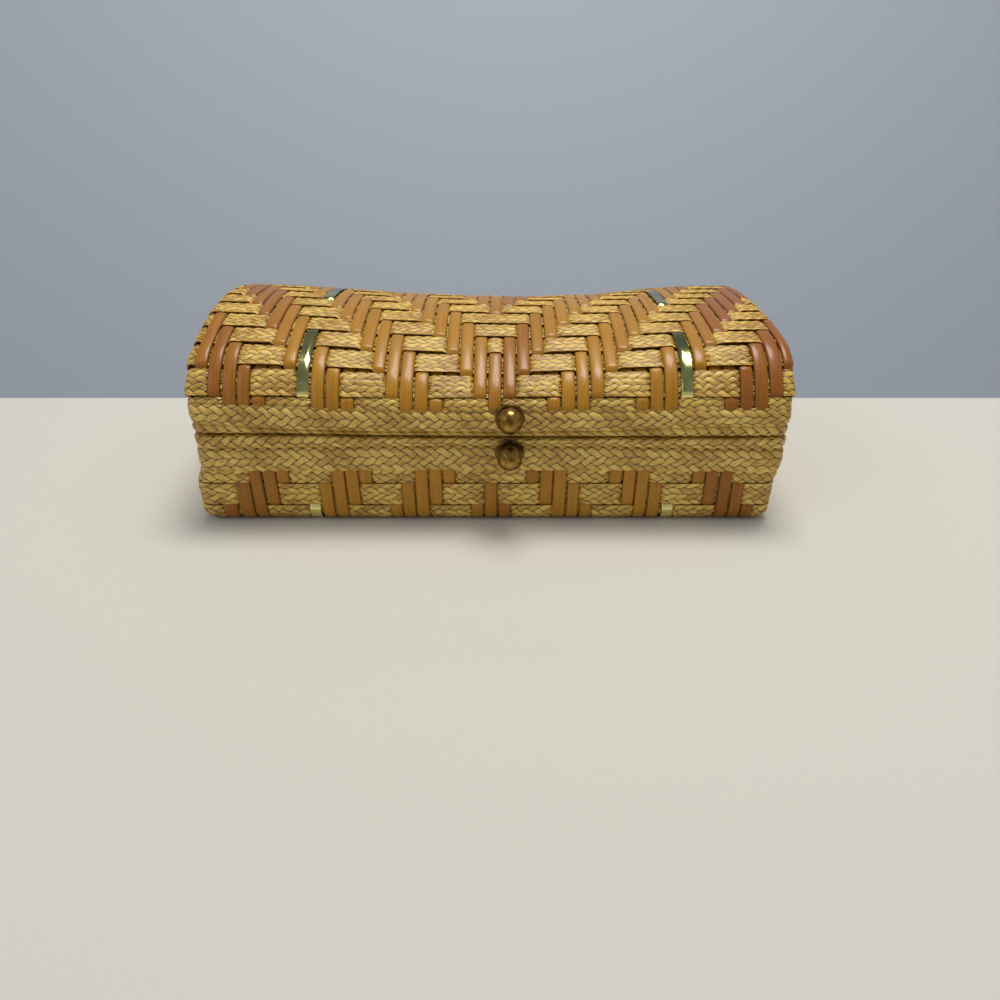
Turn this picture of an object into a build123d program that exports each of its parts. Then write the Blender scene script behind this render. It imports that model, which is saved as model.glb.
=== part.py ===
from build123d import *
import math
import os

# A woven box bag: a straw and cane tray with a hinged barrel-topped lid.
# X runs along the bag, Y from the front to the back and Z up. All sizes are in millimetres.
# The origin lies in the middle of the underside, on the level that the bag stands on.

# Box
box_length = 214.0
box_depth = 119.0
corner_radius = 4.5
tray_edge_radius = 4.4
seam_height = 36.0
seam_gap = 0.3

# Barrel top of the lid, as a three-centred arch
spring_height = 40.0
crown_height = 66.0
shoulder_radius = 20.0

# Weave: cane strips run front to back, straw braids run along the bag
weave_thickness = 2.4
cane_pitch = 5.2
cane_width = 4.6
cane_lift = 0.9
cane_root = 0.8
canes_each_side = 19
float_rows = 3
row_step = 10.0
float_end_gap = 0.5
groove_width = 0.9
groove_depth = 0.5
weave_gap_width = 3.4
weave_gap_length = 0.8
gold_cane = 13
gold_width = 4.0
gold_thickness = 0.35
lid_first_row_height = 51.0
lid_first_row = 1
tray_first_row_height = 16.3
tray_first_row = 6
end_braid_width = 9.0
end_braid_lift = 0.6
end_braid_pitch = 10.0
end_braid_levels = 2

# Rims
band_width = 10.0
band_thickness = 1.2
edge_thickness = 0.9
tray_edge_braid_height = 3.65
lid_edge_braid_height = 1.05
hoop_thickness = 1.4
hoop_height = 9.3

# Inner layers
layer_gap = 0.1
board_thickness = 1.2
lining_thickness = 0.6

# Knobs
knob_x = 7.0
lid_knob_height = 42.9
tray_knob_height = 29.6
knob_ball_radius = 4.6
knob_neck_radius = 2.8
knob_collar_radius = 5.3
knob_collar_thickness = 0.8
collar_clearance = 0.03
knob_stem_radius = 1.25
knob_head_radius = 2.2
knob_head_thickness = 0.7
knob_washer_radius = 2.9
knob_washer_thickness = 0.5
running_gap = 0.05

# Catch
tongue_thickness = 0.6
tongue_width = 15.0
tongue_slot_width = 7.0
tongue_reach = 8.0
tongue_above_knob = 4.2
tongue_bend_height = 1.6
keeper_thickness = 0.5
keeper_width = 17.0
keeper_below_knob = 4.4
keeper_above_knob = 4.6
catch_bead_radius = 0.3
catch_gap = 0.9

# Hinges
hinge_x = 68.0
leaf_width = 18.0
leaf_height = 9.0
leaf_thickness = 0.7
leaf_corner_radius = 1.5
knuckle_radius = 1.6
knuckle_gap = 0.15
hinge_pin_radius = 0.8
hinge_pin_head_radius = 1.3
hinge_pin_head_thickness = 0.5
rivet_radius = 0.8
rivet_head_radius = 1.6
rivet_head_thickness = 0.6
rivet_spacing = 11.0
lid_rivet_height_on_leaf = 1.9
tray_rivet_height_on_leaf = 4.4

# Places worked out from the sizes above
half_length = box_length / 2
half_depth = box_depth / 2
wall_bottom = cane_lift
lid_rim = seam_height + seam_gap / 2
tray_rim = seam_height - seam_gap / 2
lid_wall_bottom = lid_rim + edge_thickness + layer_gap
tray_wall_top = tray_rim - edge_thickness - layer_gap
lid_band_bottom = lid_rim + lid_edge_braid_height
lid_band_top = lid_band_bottom + band_width
tray_band_top = tray_rim - tray_edge_braid_height
tray_band_bottom = tray_band_top - band_width
tray_bend = min(tray_edge_radius, corner_radius - layer_gap)
board_inset = weave_thickness + layer_gap
lining_inset = board_inset + max(board_thickness, hoop_thickness) + layer_gap
room_inset = lining_inset + lining_thickness
rise = crown_height - spring_height
crown_radius = (half_depth**2 + rise**2 - 2 * half_depth * shoulder_radius) / (2 * (rise - shoulder_radius))
gold_lift = cane_lift - gold_thickness
keeper_face = half_depth - room_inset - keeper_thickness
tongue_face = keeper_face - catch_bead_radius - catch_gap
leaf_face = half_depth + band_thickness
hinge_y = leaf_face + knuckle_gap + knuckle_radius
knuckle_length = (leaf_width - 2 * knuckle_gap) / 3
lid_rivet_height = seam_height + knuckle_radius + lid_rivet_height_on_leaf
tray_rivet_height = seam_height - knuckle_radius - tray_rivet_height_on_leaf


class GirthLine:
    """The outer line of a woven wall in the YZ plane, measured along its length from the front rim."""

    def __init__(self):
        self.pieces = []
        self.length = 0.0

    def add(self, length, point):
        self.pieces.append((self.length, self.length + length, point))
        self.length += length

    def add_line(self, start, end, outward):
        length = math.dist(start, end)
        step = ((end[0] - start[0]) / length, (end[1] - start[1]) / length)

        def point(along, offset):
            y = start[0] + step[0] * along + outward[0] * offset
            z = start[1] + step[1] * along + outward[1] * offset
            return (y, z)

        self.add(length, point)

    def add_arc(self, centre, radius, start_angle, end_angle):
        turn = 1 if end_angle > start_angle else -1

        def point(along, offset):
            angle = math.radians(start_angle) + turn * along / radius
            y = centre[0] + (radius + offset) * math.cos(angle)
            z = centre[1] + (radius + offset) * math.sin(angle)
            return (y, z)

        self.add(math.radians(abs(end_angle - start_angle)) * radius, point)

    def edges(self, start, end, offset):
        """Edges of the line between two lengths, moved outwards by an offset."""
        made = []
        for piece_start, piece_end, point in self.pieces:
            low = max(start, piece_start)
            high = min(end, piece_end)
            if high - low > 1e-6:
                first = point(low - piece_start, offset)
                middle = point((low + high) / 2 - piece_start, offset)
                last = point(high - piece_start, offset)
                made.append(self.edge(first, middle, last))
        return made

    def edge(self, first, middle, last):
        straight = ((first[0] + last[0]) / 2, (first[1] + last[1]) / 2)
        if math.dist(straight, middle) < 1e-6:
            return Line(first, last)
        return ThreePointArc(first, middle, last)

    def band(self, start, end, inner, outer):
        """A face between two offsets of the line, in the YZ plane."""
        outside = self.edges(start, end, outer)
        inside = self.edges(start, end, inner)
        first = Line(outside[0] @ 0, inside[0] @ 0)
        last = Line(outside[-1] @ 1, inside[-1] @ 1)
        return Plane.YZ * make_face([*outside, *inside, first, last])

    def notch(self, at, width, depth):
        """A V cut across the line, as a face in the YZ plane."""
        left = self.edges(at - width, at, depth)[0] @ 0
        right = self.edges(at, at + width, depth)[-1] @ 1
        root = self.edges(at, at + width, -depth)[0] @ 0
        return Plane.YZ * make_face(Polyline(left, right, root, close=True))


def lid_girth(inset=0.0, foot=lid_wall_bottom):
    """The arch of the lid, inset by the layers outside it."""
    line = GirthLine()
    side = half_depth - inset
    lean = math.degrees(math.atan2(half_depth - shoulder_radius, crown_radius - rise))
    shoulder = (half_depth - shoulder_radius, spring_height)
    line.add_line((-side, foot), (-side, spring_height), (-1, 0))
    line.add_arc((-shoulder[0], shoulder[1]), shoulder_radius - inset, 180, 90 + lean)
    line.add_arc((0, crown_height - crown_radius), crown_radius - inset, 90 + lean, 90 - lean)
    line.add_arc(shoulder, shoulder_radius - inset, 90 - lean, 0)
    line.add_line((side, spring_height), (side, foot), (1, 0))
    return line


def tray_girth():
    """The front, underside and back of the tray."""
    line = GirthLine()
    side = half_depth - tray_bend
    low = wall_bottom + tray_bend
    line.add_line((-half_depth, tray_wall_top), (-half_depth, low), (-1, 0))
    line.add_arc((-side, low), tray_bend, 180, 270)
    line.add_line((-side, wall_bottom), (side, wall_bottom), (0, -1))
    line.add_arc((side, low), tray_bend, 270, 360)
    line.add_line((half_depth, low), (half_depth, tray_wall_top), (1, 0))
    return line


def barrel(inset, foot):
    """The solid under the lid's arch, inset on all sides, with its foot at a height."""
    deep_foot = foot - crown_height / 4
    line = lid_girth(inset, deep_foot)
    arch = line.edges(0, line.length, 0)
    face = Plane.YZ * make_face([*arch, Line(arch[-1] @ 1, arch[0] @ 0)])
    body = extrude(face, half_length - inset, both=True)
    radius = corner_radius - inset
    if radius > 0.3:
        ends = [e for e in body.edges() if abs(abs(e.center().X) - half_length + inset) < 1e-3]
        body = fillet([e for e in ends if e.bounding_box().max.Z > deep_foot + 0.1], radius)
    return body & slab(foot, 2 * crown_height)


def barrel_shell(inset, thickness, foot):
    """A layer of the lid, open underneath."""
    return barrel(inset, foot) - barrel(inset + thickness, foot - 1)


def tray_block(inset, top):
    """The solid outline of the tray, inset on all sides."""
    radius = max(corner_radius - inset, 0.3)
    foot = wall_bottom + inset
    outline = RectangleRounded(box_length - 2 * inset, box_depth - 2 * inset, radius)
    body = Pos(0, 0, foot) * extrude(outline, top - foot)
    bend = tray_bend - inset
    if bend > 0.3:
        body = fillet(body.edges().group_by(Axis.Z)[0], bend)
    return body


def tray_shell(inset, thickness, top):
    """A layer of the tray, open on top."""
    return tray_block(inset, top) - tray_block(inset + thickness, top + 1)


def rim_ring(outside, inside, bottom, top):
    """An upright ring that follows the plan of the box, between two offsets outwards."""
    outer_radius = max(corner_radius + outside, 0.3)
    inner_radius = max(corner_radius + inside, 0.3)
    outer = RectangleRounded(box_length + 2 * outside, box_depth + 2 * outside, outer_radius)
    inner = RectangleRounded(box_length + 2 * inside, box_depth + 2 * inside, inner_radius)
    return Pos(0, 0, bottom) * extrude(outer - inner, top - bottom)


def slab(bottom, top):
    """All space between two heights."""
    upright = (Align.CENTER, Align.CENTER, Align.MIN)
    return Pos(0, 0, bottom) * Box(2 * box_length, 2 * box_depth, top - bottom, align=upright)


def is_over(cane, row):
    """The twill: each cane passes over three braids and under three, one braid later than its neighbour."""
    turn = 2 * float_rows
    return (cane - row + 1) % turn in (turn - 1, 0, 1)


def cane_floats(rows, cane):
    """Start and end lengths of the stretches where a cane lies outside, from the rows' bounds."""
    found = []
    for row, (start, end) in rows.items():
        if is_over(cane, row):
            if found and abs(found[-1][1] - start) < 1e-6:
                found[-1] = (found[-1][0], end)
            else:
                found.append((start, end))
    return found


def lid_rows(line):
    """Row number to start and end length, evenly spaced between the front and the back rows."""
    straight = spring_height - lid_wall_bottom
    rim = straight + shoulder_radius * math.asin((lid_band_top + layer_gap - spring_height) / shoulder_radius)
    first = straight + shoulder_radius * math.asin((lid_first_row_height - spring_height) / shoulder_radius)
    count = round((line.length - 2 * first) / row_step)
    step = (line.length - 2 * first) / count
    rows = {lid_first_row - 1: (rim, first)}
    for i in range(count):
        rows[lid_first_row + i] = (first + i * step, first + (i + 1) * step)
    rows[lid_first_row + count] = (line.length - first, line.length - rim)
    return rows


def tray_rows(line):
    """Row number to start and end length, from the front wall round the underside to the back wall."""
    rim = tray_wall_top - tray_band_bottom + layer_gap
    first = tray_wall_top - tray_first_row_height
    corner = first + row_step
    below = 2 * (tray_wall_top - wall_bottom - tray_bend) + math.pi / 2 * tray_bend - corner
    flat = line.length - 2 * below
    count = round(flat / row_step)
    bounds = [rim, first, corner] + [below + flat * i / count for i in range(count + 1)]
    bounds += [line.length - corner, line.length - first, line.length - rim]
    return {tray_first_row - 1 + i: (bounds[i], bounds[i + 1]) for i in range(len(bounds) - 1)}


def cane_numbers():
    return range(-canes_each_side, canes_each_side + 1)


def row_grooves(line, rows):
    """V cuts along the bag, where one braid meets the next."""
    starts = [start for start, _ in rows.values()][1:]
    return [extrude(line.notch(s, groove_width / 2, groove_depth), box_length, both=True) for s in starts]


def cane_ridges(line, rows):
    """Ridges for every cane, where it passes over a braid."""
    ridges = []
    for number in cane_numbers():
        is_gold = abs(number) == gold_cane
        width = gold_width if is_gold else cane_width
        lift = gold_lift if is_gold else cane_lift
        for start, end in cane_floats(rows, abs(number)):
            face = line.band(start + float_end_gap / 2, end - float_end_gap / 2, -cane_root, lift)
            ridges.append(Pos(number * cane_pitch, 0, 0) * extrude(face, width / 2, both=True))
    return ridges


def weave_gaps(line, rows):
    """Openings through the wall, where a cane comes up between two braids."""
    gaps = []
    for number in cane_numbers():
        for start, _ in cane_floats(rows, abs(number)):
            low = start - weave_gap_length / 2 - float_end_gap / 2
            if start > min(rows.values())[0]:
                face = line.band(low, low + weave_gap_length, -2 * weave_thickness, weave_thickness)
                gaps.append(Pos(number * cane_pitch, 0, 0) * extrude(face, weave_gap_width / 2, both=True))
    return gaps


def gold_strips(line, rows, side):
    """The bright strip that takes the place of one cane on each side, where it shows."""
    strips = []
    for start, end in cane_floats(rows, gold_cane):
        face = line.band(start + float_end_gap / 2, end - float_end_gap / 2, gold_lift, cane_lift)
        strips.append(Pos(side * gold_cane * cane_pitch, 0, 0) * extrude(face, gold_width / 2, both=True))
    return Compound(strips)


def end_braids(low, high, height_at):
    """Raised squares on both ends, where an upright braid passes over a level one."""
    step = (high - low) / end_braid_levels
    columns = int((half_depth - corner_radius) / end_braid_pitch)
    upright = (Align.CENTER, Align.CENTER, Align.MIN)
    squares = []
    for column in range(-columns, columns + 1):
        y = column * end_braid_pitch
        for level in range(end_braid_levels):
            bottom = low + level * step
            top = min(bottom + step - float_end_gap, height_at(abs(y) + end_braid_width / 2))
            if (column + level) % 2 == 0 and top - bottom > 2 * end_braid_lift:
                square = Box(2 * end_braid_lift, end_braid_width, top - bottom, align=upright)
                squares += [Pos(side * half_length, y, bottom) * square for side in (-1, 1)]
    return squares


def arch_height(y):
    """Height of the lid's arch over a distance from its middle line, less its rounded end."""
    side = half_depth - shoulder_radius
    if y > side:
        height = spring_height + math.sqrt(max(shoulder_radius**2 - (y - side) ** 2, 0))
    else:
        height = crown_height - crown_radius + math.sqrt(crown_radius**2 - y**2)
    return height - corner_radius / 2


def front_plane(height, is_lid):
    """The seat of a knob on the outside of the front wall, facing outwards."""
    angle = 0.0
    if is_lid and height > spring_height:
        angle = math.asin((height - spring_height) / shoulder_radius)
    y = -half_depth + shoulder_radius * (1 - math.cos(angle))
    return Plane((knob_x, y, height), x_dir=(1, 0, 0), z_dir=(0, -math.cos(angle), math.sin(angle)))


def rivet_planes(height):
    """The seats of the rivets on the outside of the back wall, facing outwards."""
    xs = [side * hinge_x + step * rivet_spacing / 2 for side in (-1, 1) for step in (-1, 1)]
    return [Plane((x, half_depth, height), x_dir=(1, 0, 0), z_dir=(0, 1, 0)) for x in xs]


def drill(body, is_lid):
    """Takes the holes of the knob and the rivets out of a rim piece."""
    depth = 4 * room_inset
    knob_height = lid_knob_height if is_lid else tray_knob_height
    rivet_height = lid_rivet_height if is_lid else tray_rivet_height
    holes = [front_plane(knob_height, is_lid) * Cylinder(knob_stem_radius + running_gap, depth)]
    holes += [plane * Cylinder(rivet_radius + running_gap, depth) for plane in rivet_planes(rivet_height)]
    return body.cut(*holes)


def woven_cover():
    """The woven outside of the lid."""
    line = lid_girth()
    rows = lid_rows(line)
    squares = end_braids(lid_band_top + float_end_gap, arch_height(0), arch_height)
    shell = barrel_shell(0, weave_thickness, lid_wall_bottom).cut(*row_grooves(line, rows))
    shell = shell.fuse(*cane_ridges(line, rows), *squares)
    shell = shell.cut(barrel(weave_thickness, lid_wall_bottom - 1), *weave_gaps(line, rows))
    return drill(shell, True)


def woven_wall():
    """The woven outside of the tray."""
    line = tray_girth()
    rows = tray_rows(line)
    low = wall_bottom + tray_bend
    squares = end_braids(low, tray_band_bottom, lambda y: tray_band_bottom - float_end_gap)
    shell = tray_shell(0, weave_thickness, tray_wall_top).cut(*row_grooves(line, rows))
    shell = shell.fuse(*cane_ridges(line, rows), *squares)
    shell = shell.cut(tray_block(weave_thickness, tray_wall_top + 1), *weave_gaps(line, rows))
    return drill(shell, False)


def lid_layers():
    """The rim hoop, board, lining and braids of the lid."""
    hoop_top = lid_wall_bottom + hoop_height
    hoop = barrel_shell(board_inset, hoop_thickness, lid_wall_bottom) & slab(lid_wall_bottom, hoop_top)
    band = barrel_shell(-band_thickness, band_thickness, lid_band_bottom) & slab(lid_band_bottom, lid_band_top)
    lining = barrel_shell(lining_inset, lining_thickness, lid_wall_bottom)
    return {
        "lid_rim_hoop": drill(hoop, True),
        "lid_board": barrel_shell(board_inset, board_thickness, hoop_top + layer_gap),
        "lid_lining": drill(lining, True),
        "lid_band_braid": drill(band, True),
        "lid_edge_braid": rim_ring(edge_thickness, -room_inset, lid_rim, lid_rim + edge_thickness),
    }


def tray_layers():
    """The rim hoop, board, lining and braids of the tray."""
    hoop_bottom = tray_wall_top - hoop_height
    hoop = rim_ring(-board_inset, -board_inset - hoop_thickness, hoop_bottom, tray_wall_top)
    band = rim_ring(band_thickness, 0, tray_band_bottom, tray_band_top)
    fold = rim_ring(edge_thickness, 0, tray_band_top + layer_gap, tray_rim)
    lip = rim_ring(edge_thickness, -room_inset, tray_rim - edge_thickness, tray_rim)
    return {
        "tray_rim_hoop": drill(hoop, False),
        "tray_board": tray_shell(board_inset, board_thickness, hoop_bottom - layer_gap),
        "tray_lining": drill(tray_shell(lining_inset, lining_thickness, tray_wall_top), False),
        "tray_band_braid": drill(band, False),
        "tray_edge_braid": fold + lip,
    }


def knob_pieces(name, height, is_lid, plate_thickness):
    """A turned ball with its stem, the collar in front and the washer behind, under the upset head."""
    seat = front_plane(height, is_lid)
    curve = shoulder_radius - room_inset - plate_thickness if seat.z_dir.Z > 0 else 0
    hollow = curve - math.sqrt(curve**2 - knob_washer_radius**2) if curve else 0
    collar_seat = band_thickness + (collar_clearance if is_lid else 0)
    collar_top = collar_seat + knob_collar_thickness
    washer_face = -room_inset - plate_thickness - hollow
    head_face = washer_face - knob_washer_thickness
    ball_middle = collar_top + math.sqrt(knob_ball_radius**2 - knob_neck_radius**2)
    upright = (Align.CENTER, Align.CENTER, Align.MIN)
    hanging = (Align.CENTER, Align.CENTER, Align.MAX)
    ball = Pos(0, 0, ball_middle) * Sphere(knob_ball_radius)
    ball -= Pos(0, 0, collar_top) * Cylinder(knob_ball_radius, knob_ball_radius, align=hanging)
    stem = Pos(0, 0, head_face) * Cylinder(knob_stem_radius, ball_middle - head_face, align=upright)
    head = Pos(0, 0, head_face) * Cylinder(knob_head_radius, knob_head_thickness, align=hanging)
    bore = Cylinder(knob_stem_radius + running_gap, 4 * room_inset)
    collar = Pos(0, 0, collar_seat) * Cylinder(knob_collar_radius, knob_collar_thickness, align=upright)
    collar = chamfer(collar.edges().group_by(Axis.Z)[-1], knob_collar_thickness / 2)
    washer = Pos(0, 0, washer_face) * Cylinder(knob_washer_radius, knob_washer_thickness, align=hanging)
    return {
        f"{name}_ball_knob": seat * (ball + stem + head),
        f"{name}_knob_collar": seat * (collar - bore),
        f"{name}_knob_washer": seat * (washer - bore),
    }


def catch_pieces():
    """The sprung tongue on the lid and the keeper on the tray, each held by its knob's stem."""
    lid_seat = front_plane(lid_knob_height, True)
    tray_seat = front_plane(tray_knob_height, False)
    room = half_depth - room_inset
    angle = math.asin((lid_knob_height + tongue_above_knob - spring_height) / shoulder_radius)
    line = lid_girth(room_inset, lid_wall_bottom)
    top = spring_height - lid_wall_bottom + angle * (shoulder_radius - room_inset)
    bend_top = lid_wall_bottom + tongue_bend_height
    start = bend_top - lid_wall_bottom
    plate = line.band(start, top, -tongue_thickness, 0)
    tip = seam_height - tongue_reach
    joggle = Polyline(
        (-room, bend_top),
        (-room + tongue_thickness, bend_top),
        (-tongue_face + tongue_thickness, lid_rim),
        (-tongue_face + tongue_thickness, tip),
        (-tongue_face, tip),
        (-tongue_face, lid_rim),
        close=True,
    )
    profile = plate + Plane.YZ * make_face(joggle)
    tongue = Pos(knob_x, 0, 0) * extrude(profile, tongue_width / 2, both=True)
    slot_top = tray_knob_height + knob_washer_radius + 2 * catch_gap
    slot = Box(tongue_slot_width, box_depth, slot_top - tip, align=(Align.CENTER, Align.CENTER, Align.MIN))
    tongue -= Pos(knob_x, -half_depth, tip) * slot
    tongue -= lid_seat * Cylinder(knob_stem_radius + running_gap, 4 * room_inset)
    low = tray_knob_height - keeper_below_knob
    high = tray_knob_height + keeper_above_knob
    keeper = Pos(knob_x, -room, low) * Box(
        keeper_width, keeper_thickness, high - low, align=(Align.CENTER, Align.MIN, Align.MIN)
    )
    bead_length = (keeper_width - tongue_slot_width) / 2 - 2 * catch_bead_radius
    for side in (-1, 1):
        x = knob_x + side * (keeper_width - bead_length - 2 * catch_bead_radius) / 2
        bead = Pos(x, -keeper_face, high - 2 * catch_bead_radius) * Rot(0, 90, 0)
        keeper += bead * Cylinder(catch_bead_radius, bead_length)
    keeper -= tray_seat * Cylinder(knob_stem_radius + running_gap, 4 * room_inset)
    return {"catch_tongue": tongue, "catch_keeper": keeper}


def hinge_leaf(side, is_lid):
    """A leaf on the back band, with the middle knuckle on the lid and the outer two on the tray."""
    way = 1 if is_lid else -1
    root = seam_height + way * (knuckle_radius + knuckle_gap)
    tip = seam_height + way * (knuckle_radius + leaf_height)
    outline = Pos(0, (root + tip) / 2) * Rectangle(leaf_width, abs(tip - root))
    far = outline.vertices().group_by(Axis.Y)[-1 if is_lid else 0]
    outline = fillet(far, leaf_corner_radius)
    plate_plane = Plane((side * hinge_x, leaf_face, 0), x_dir=(-1, 0, 0), z_dir=(0, 1, 0))
    leaf = extrude(plate_plane * outline, leaf_thickness)
    middles = [0] if is_lid else [-knuckle_length - knuckle_gap, knuckle_length + knuckle_gap]
    bore_radius = hinge_pin_radius + (running_gap if is_lid else 0)
    web_bottom = min(seam_height, root)
    web_align = (Align.CENTER, Align.MIN, Align.MIN)
    for middle in middles:
        x = side * hinge_x + middle
        web_depth = leaf_face + leaf_thickness - hinge_y + knuckle_radius
        web = Box(knuckle_length, web_depth, abs(root - seam_height), align=web_align)
        leaf += Pos(x, hinge_y - knuckle_radius, web_bottom) * web
        leaf += Pos(x, hinge_y, seam_height) * Rot(0, 90, 0) * Cylinder(knuckle_radius, knuckle_length)
    leaf -= Pos(side * hinge_x, hinge_y, seam_height) * Rot(0, 90, 0) * Cylinder(bore_radius, 2 * leaf_width)
    return drill(leaf, is_lid)


def hinge_pin(side):
    """A pin pressed into the tray's knuckles, with a head at each end."""
    pin = Cylinder(hinge_pin_radius, leaf_width)
    head = Cylinder(hinge_pin_head_radius, hinge_pin_head_thickness)
    reach = (leaf_width + hinge_pin_head_thickness) / 2
    pin += [Pos(0, 0, end * reach) * head for end in (-1, 1)]
    return Pos(side * hinge_x, hinge_y, seam_height) * Rot(0, 90, 0) * pin


def rivets(height):
    """Four rivets that hold a pair of leaves, headed on the leaf and on the lining."""
    upright = (Align.CENTER, Align.CENTER, Align.MIN)
    hanging = (Align.CENTER, Align.CENTER, Align.MAX)
    outer_face = band_thickness + leaf_thickness
    curve = shoulder_radius - room_inset
    over = max(height + rivet_head_radius - spring_height, 0)
    inner_face = -room_inset - curve + math.sqrt(curve**2 - over**2)
    made = []
    for plane in rivet_planes(height):
        shank = Pos(0, 0, inner_face) * Cylinder(rivet_radius, outer_face - inner_face, align=upright)
        outer = Pos(0, 0, outer_face) * Cylinder(rivet_head_radius, rivet_head_thickness, align=upright)
        outer = chamfer(outer.edges().group_by(Axis.Z)[-1], rivet_head_thickness * 0.6)
        inner = Pos(0, 0, inner_face) * Cylinder(rivet_head_radius, rivet_head_thickness, align=hanging)
        inner = chamfer(inner.edges().group_by(Axis.Z)[0], rivet_head_thickness * 0.6)
        made.append(plane * (shank + outer + inner))
    return Compound(made)


def build_nodes():
    nodes = {"lid_woven_cover": woven_cover(), "tray_woven_wall": woven_wall()}
    nodes |= lid_layers() | tray_layers()
    nodes |= knob_pieces("lid", lid_knob_height, True, tongue_thickness)
    nodes |= knob_pieces("tray", tray_knob_height, False, keeper_thickness)
    nodes |= catch_pieces()
    nodes["lid_hinge_rivets"] = rivets(lid_rivet_height)
    nodes["tray_hinge_rivets"] = rivets(tray_rivet_height)
    lid_line = lid_girth()
    tray_line = tray_girth()
    for side, name in ((-1, "left"), (1, "right")):
        nodes[f"lid_hinge_leaf_{name}"] = hinge_leaf(side, True)
        nodes[f"tray_hinge_leaf_{name}"] = hinge_leaf(side, False)
        nodes[f"hinge_pin_{name}"] = hinge_pin(side)
        nodes[f"lid_gold_strips_{name}"] = gold_strips(lid_line, lid_rows(lid_line), side)
        nodes[f"tray_gold_strips_{name}"] = gold_strips(tray_line, tray_rows(tray_line), side)
    return nodes


os.makedirs("parts", exist_ok=True)
for node_name, node in build_nodes().items():
    export_step(node, f"parts/{node_name}.step")
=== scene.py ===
# %% [markdown]
# # A woven box bag of straw and cane
# The bag is a shallow woven tray with a hinged, barrel-topped lid. Glossy split canes run from the
# front rim over the top to the back rim. Flat straw plaits run along the bag and pass over three
# canes and under three. The hidden structure comes from the CAD frame, and this lesson makes what
# the eye sees: the canes, the plaits, the gilded strips, the rims, the fittings and the lining.

# %% The frame and the tools
import math

import bpy
import numpy as np
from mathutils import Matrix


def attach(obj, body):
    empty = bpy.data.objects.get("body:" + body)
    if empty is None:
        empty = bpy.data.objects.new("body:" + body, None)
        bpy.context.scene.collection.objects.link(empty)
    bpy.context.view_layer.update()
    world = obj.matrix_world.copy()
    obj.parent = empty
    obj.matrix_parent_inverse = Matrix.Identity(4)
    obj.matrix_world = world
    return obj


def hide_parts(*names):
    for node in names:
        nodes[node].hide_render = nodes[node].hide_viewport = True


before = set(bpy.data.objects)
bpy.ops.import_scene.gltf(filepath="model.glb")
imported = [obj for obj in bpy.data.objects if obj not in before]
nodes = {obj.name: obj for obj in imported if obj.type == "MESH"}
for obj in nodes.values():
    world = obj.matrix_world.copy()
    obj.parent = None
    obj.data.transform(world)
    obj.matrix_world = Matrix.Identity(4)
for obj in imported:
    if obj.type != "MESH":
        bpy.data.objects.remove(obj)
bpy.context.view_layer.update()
MM = 0.001

# %% [markdown]
# ## The sizes that the weave follows
# The woven skin lies on the same box as the CAD walls: a straight-sided tray and a three-centred
# arch. The sizes are in millimetres, because a maker thinks of a 5 mm cane and a 10 mm plait, and
# they become metres only when a mesh is made.

# %% Sizes of the box
half_length = 107.0
half_depth = 59.5
corner = 4.5
tray_top = 34.85
tray_floor = 0.9
tray_bend = 4.4
lid_foot = 37.15
spring = 38.7
crown = 66.0
lowest = 0.05
print("box of the weave:", 2 * half_length, "by", 2 * half_depth, "by", crown, "mm")


# %% Small helpers for arrays
def smooth(value, low, high):
    """0 below low, 1 above high and a soft step between."""
    t = np.clip((value - low) / (high - low), 0, 1)
    return t * t * (3 - 2 * t)


def waves(a, b, seed, count=4):
    """A slow, repeatable wander between about -1 and 1 over two coordinates."""
    draw = np.random.default_rng(seed)
    total = 0
    for _ in range(count):
        ka, kb = draw.uniform(0.6, 1.6, 2)
        pa, pb = draw.uniform(0, 2 * math.pi, 2)
        total = total + np.sin(ka * a + pa + 1.3 * np.sin(kb * b + pb))
    return total / count


print("a soft step at a quarter, a half and three quarters:", smooth(np.array([0.25, 0.5, 0.75]), 0, 1))

# %% [markdown]
# ## One mapping for lid and tray
# Weaving is easy to describe flat: x along the bag, s along a cane and h outwards. A mapping then
# bends that flat cloth round the box. A lattice modifier could bend it too, but it would stretch the
# canes over the tight arris. Both walls fold over the end arris in the same way, so one function
# bends any profile, and only the profiles differ.

# %% The arch of the lid
crown_lowest_at = 20.0
crown_rise_left = 5.1
crown_rise_right = 0.9
crown_curve = 1.5
shoulder_middle = 15.5
shoulder_ends = 26.0
shoulder_widest_at = 95
mean_arch_at = 60.0


def arch(x):
    """The three-centred arch over a place along the bag: it sinks to a place right of the middle."""
    x = np.clip(x, -half_length, half_length)
    away = x - crown_lowest_at
    left = np.clip(-away, 0, None) / (half_length + crown_lowest_at)
    right = np.clip(away, 0, None) / (half_length - crown_lowest_at)
    top = crown + crown_rise_left * left**crown_curve + crown_rise_right * right**crown_curve
    wide = smooth(np.abs(x), 0, shoulder_widest_at)
    radius = shoulder_middle + (shoulder_ends - shoulder_middle) * wide
    rise = top - spring
    big = (half_depth**2 + rise**2 - 2 * half_depth * radius) / (2 * (rise - radius))
    lean = np.arctan2(half_depth - radius, big - rise)
    straight = spring - lid_foot
    bend = radius * (math.pi / 2 - lean)
    return top, radius, big, straight, bend, 2 * (straight + bend + big * lean)


lid_girth = float(arch(np.array(mean_arch_at))[-1])
print("top of the arch at the left end, at its lowest and at the right end:",
      [round(float(arch(np.array(x))[0]), 1) for x in (-half_length, crown_lowest_at, half_length)])


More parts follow.
